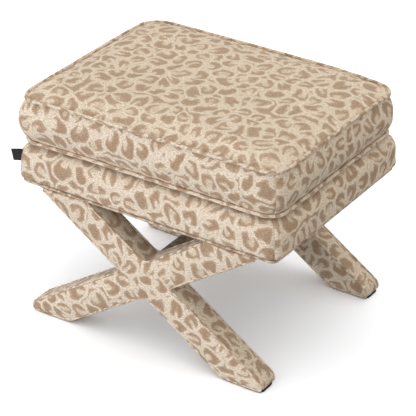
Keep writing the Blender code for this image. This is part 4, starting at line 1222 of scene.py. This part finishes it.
def makePads():
    # the felt pads are real, but here they reach to within 1.2 mm of the foot's sides and 4 mm past each
    # end of the real ones, so their black also stands for a painted contact shadow under each foot
    c = small
    outerY, innerY = leg["face"] - c["padMargin"], leg["face"] - leg["depth"] + c["padMargin"]
    for nodeName in [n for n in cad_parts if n.endswith("_foot_pad")]:
        low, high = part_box(nodeName)
        side = math.copysign(1, low.y + high.y)
        ring = planLoop((high.x - low.x) / 2 + c["padLonger"], (outerY - innerY) / 2,
                        c["padCorner"], 4 * mm)[0]
        middle = ((low.x + high.x) / 2, side * (outerY + innerY) / 2, low.z)
        pad = makePlate(f"{nodeName}_felt", ring, middle, (1, 0, 0), (0, 1, 0), high.z - low.z,
                        c["padEdge"], feltPad)
        settle(pad, "base", "black_felt_pad", nodeName)


def makeTag():
    # a folded loop of woven tape caught in the corner seam, tilted a little and curling
    c = small
    low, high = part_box("side_tag")
    root = np.array((high.x, high.y, (low.z + high.z) / 2))
    out = np.array((-1.0, -1.0, 0.0)) / math.sqrt(2)
    across = np.array((1.0, -1.0, 0.0)) / math.sqrt(2)
    turn = math.radians(c["tagTurn"])
    length, tall, thick = c["tagLength"], c["tagHeight"], c["tagThickness"]
    steps = c["tagSteps"]
    runs = [length * k / steps for k in range(steps + 1)]
    path = np.array([(u, -thick * 0.9) for u in runs]
                    + [(length + 0.5 * mm, -thick * 0.5), (length + 0.7 * mm, 0),
                       (length + 0.5 * mm, thick * 0.5)]
                    + [(u, thick * 0.9) for u in reversed(runs)])
    points, faces, corners = [], [], []
    for r in range(steps + 1):
        v = tall * (r / steps - 0.5)
        for u, away in path:
            curl = c["tagCurl"][0] * (u / length) ** 2 * (0.4 + 0.6 * r / steps)
            curl -= c["tagCurl"][1] * (u / length)
            a = u * math.cos(turn) + v * math.sin(turn) * (u / length) ** 0.5
            b = v * math.cos(turn) + (u - 0.5 * length) * math.sin(turn)
            points.append(root + out * (a - c["tagCaught"]) + across * (away + curl)
                          + np.array((0, 0, b)))
    ids = np.arange(len(points)).reshape(steps + 1, len(path))
    run = np.concatenate(([0], np.cumsum(np.linalg.norm(np.diff(path, axis=0), axis=1))))
    cloth = np.array([[(s, tall * r / steps) for s in run] for r in range(steps + 1)])
    layPanel(ids, cloth, faces, corners)
    tag = addPiece("side_tag_woven", points, faces, corners, labelCloth)
    tag.modifiers.new("cloth", "SOLIDIFY").thickness = c["tagCloth"]
    settle(tag, "base", "black_woven_tag", "side_tag")


def makeCloth(name, node, material, slot):
    c = small
    low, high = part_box(node)
    wide, deep = high.x - low.x, high.y - low.y
    across, along = round(wide / c["sheetStep"]), round(deep / c["sheetStep"])
    middle = (low.z + high.z) / 2
    points, faces, corners = [], [], []
    for j in range(along + 1):
        for k in range(across + 1):
            x, y = low.x + wide * k / across, low.y + deep * j / along
            ripple = noise.noise(Vector((x / 0.06, y / 0.045, 5.0)))
            points.append((x, y, middle + c["ripple"] * ripple))
    ids = np.arange(len(points)).reshape(along + 1, across + 1)
    cloth = np.array(points)[:, :2].reshape(along + 1, across + 1, 2)
    layPanel(ids, cloth, faces, corners)
    sheet = addPiece(name, points, faces, corners, material)
    thick = sheet.modifiers.new("cloth", "SOLIDIFY")
    thick.thickness = c["sheetThickness"]
    thick.offset = 0
    settle(sheet, "base", slot, node)


def makeStaples():
    c = small
    low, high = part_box("dust_cover")
    z = low.z - 0.25 * mm
    half, (inwards, down) = c["staple"] / 2, c["stapleBend"]
    right = [(half - inwards, 0), (half, down), (half, c["stapleLeg"])]
    bent = [(-a, up) for a, up in reversed(right)] + right
    runs = []
    # along x at the front and rear edges, then along y at the left and right edges
    for alongX, start, end, edges in ((True, low.x, high.x, (low.y, high.y)),
                                      (False, low.y, high.y, (low.x, high.x))):
        count = round((end - start) / c["stapleSpacing"])
        for fixed in (edges[0] + c["stapleIn"], edges[1] - c["stapleIn"]):
            for k in range(count):
                middle = start + (end - start) * (k + 0.5) / count
                skew = 0.06 * noise.noise(Vector((middle * 40, fixed * 40, 2.0)))
                places = [(middle + a, fixed + a * skew, z + up) for a, up in bent]
                runs.append(places if alongX else [(y, x, up) for x, y, up in places])
    staples = threadRuns("dust_cover_staples", runs, c["stapleWire"], platedSteel)
    settle(staples, "base", "zinc_plated_steel")


makePads()
makeTag()
makeCloth("platform_lining", "platform_cloth", lining, "platform_lining")
makeCloth("dust_cover_cloth", "dust_cover", nonwoven, "black_nonwoven")
makeStaples()
print("small parts made")


# Studio

studio = {
    "floor": "#A2A2A2", "seenFloor": (1.58, 1.68, 1.86, 1.0), "aim": (0, 0, 0.25),
    "top": {"energy": 1.5, "size": (2.3, 2.1), "place": (0.0, 0.35, 2.7), "tint": "#FFF6E8"},
    "front": {"energy": 58.0, "size": (2.4, 0.7), "place": (-1.0, -3.5, 0.4), "tint": "#F6F8FF"},
    "right": {"energy": 1.0, "size": (1.4, 1.2), "place": (2.7, 0.2, 0.8), "tint": "#FFF8EC"},
    "zenith": 1.02, "horizon": 0.57, "ambientTint": "#FFF9EF",
}


def seenDirectly(add):
    # 1 for what the lens sees itself, in a gloss or through glass
    ray = add("LightPath").outputs
    direct = add("Math", {0: ray["Is Camera Ray"], 1: ray["Is Glossy Ray"]}, operation="MAXIMUM")
    return add("Math", {0: direct, 1: ray["Is Transmission Ray"]}, operation="MAXIMUM")


def makeFloor():
    bpy.ops.mesh.primitive_plane_add(size=16)
    floor = bpy.context.object
    floor.name = "floor"
    # painted floor: the lens sees it white where light reaches it, and grey in shadow
    material, _, add = newMaterial("studioFloor")
    tree = material.node_tree
    paint = add("BsdfDiffuse", {"Color": hexToLinear(studio["floor"])})
    white = add("BsdfDiffuse", {"Color": studio["seenFloor"]})
    mixed = add("MixShader", {0: seenDirectly(add), 1: paint, 2: white})
    feed(tree, tree.nodes["Material Output"], {"Surface": mixed})
    tree.nodes.remove(tree.nodes["Principled BSDF"])
    floor.data.materials.append(material)
    return floor


def makeRoom():
    world = bpy.data.worlds.new("studioWorld")
    bpy.context.scene.world = world
    world.use_nodes = True
    tree = world.node_tree
    add = partial(addNode, tree)
    # the room is brighter overhead than along its walls
    height = add("SeparateXYZ", {0: add("TexCoord").outputs["Generated"]})
    strength = add("MapRange", {"Value": height.outputs[2], "To Min": studio["horizon"],
                                "To Max": studio["zenith"]})
    soft = tree.nodes["Background"]
    feed(tree, soft, {"Color": hexToLinear(studio["ambientTint"]), "Strength": strength})
    bright = add("Background", {"Color": (1, 1, 1, 1), "Strength": 1.0})
    mixed = add("MixShader", {0: seenDirectly(add), 1: soft, 2: bright})
    feed(tree, tree.nodes["World Output"], {"Surface": mixed})


def makeLamps(floor):
    for name in ("top", "front", "right"):
        c = studio[name]
        lamp = bpy.data.lights.new(f"{name}Light", "AREA")
        lamp.shape = "RECTANGLE"
        lamp.energy = c["energy"]
        lamp.size, lamp.size_y = c["size"]
        lamp.color = hexToLinear(c["tint"])[:3]
        item = bpy.data.objects.new(f"{name}Light", lamp)
        item.location = c["place"]
        aim = Vector(studio["aim"]) - Vector(c["place"])
        item.rotation_euler = aim.to_track_quat("-Z", "Y").to_euler()
        bpy.context.scene.collection.objects.link(item)
        if name != "top":
            # a flag keeps this lamp off the floor, so the shadow stays under the stool
            flagged = bpy.data.collections.new(f"{name}Flag")
            flagged.objects.link(floor)
            item.light_linking.receiver_collection = flagged
            flagged.collection_objects[0].light_linking.link_state = "EXCLUDE"


camera = {"azimuth": 33.53, "elevation": 29.42, "distance": 4.1276, "lens": 174.4,
          "target": (-0.0029, 0.0, 0.2215)}


def makeCamera():
    c = camera
    azimuth, elevation = math.radians(c["azimuth"]), math.radians(c["elevation"])
    back = Vector((math.sin(azimuth) * math.cos(elevation),
                   -math.cos(azimuth) * math.cos(elevation), math.sin(elevation)))
    lens = bpy.data.cameras.new("camera")
    lens.sensor_width = 36
    lens.lens = c["lens"]
    item = bpy.data.objects.new("camera", lens)
    item.location = Vector(c["target"]) + back * c["distance"]
    item.rotation_euler = back.to_track_quat("Z", "Y").to_euler()
    bpy.context.scene.collection.objects.link(item)
    bpy.context.scene.camera = item


makeRoom()
makeLamps(makeFloor())
makeCamera()
bpy.context.scene.view_settings.view_transform = "Standard"
print("studio made")
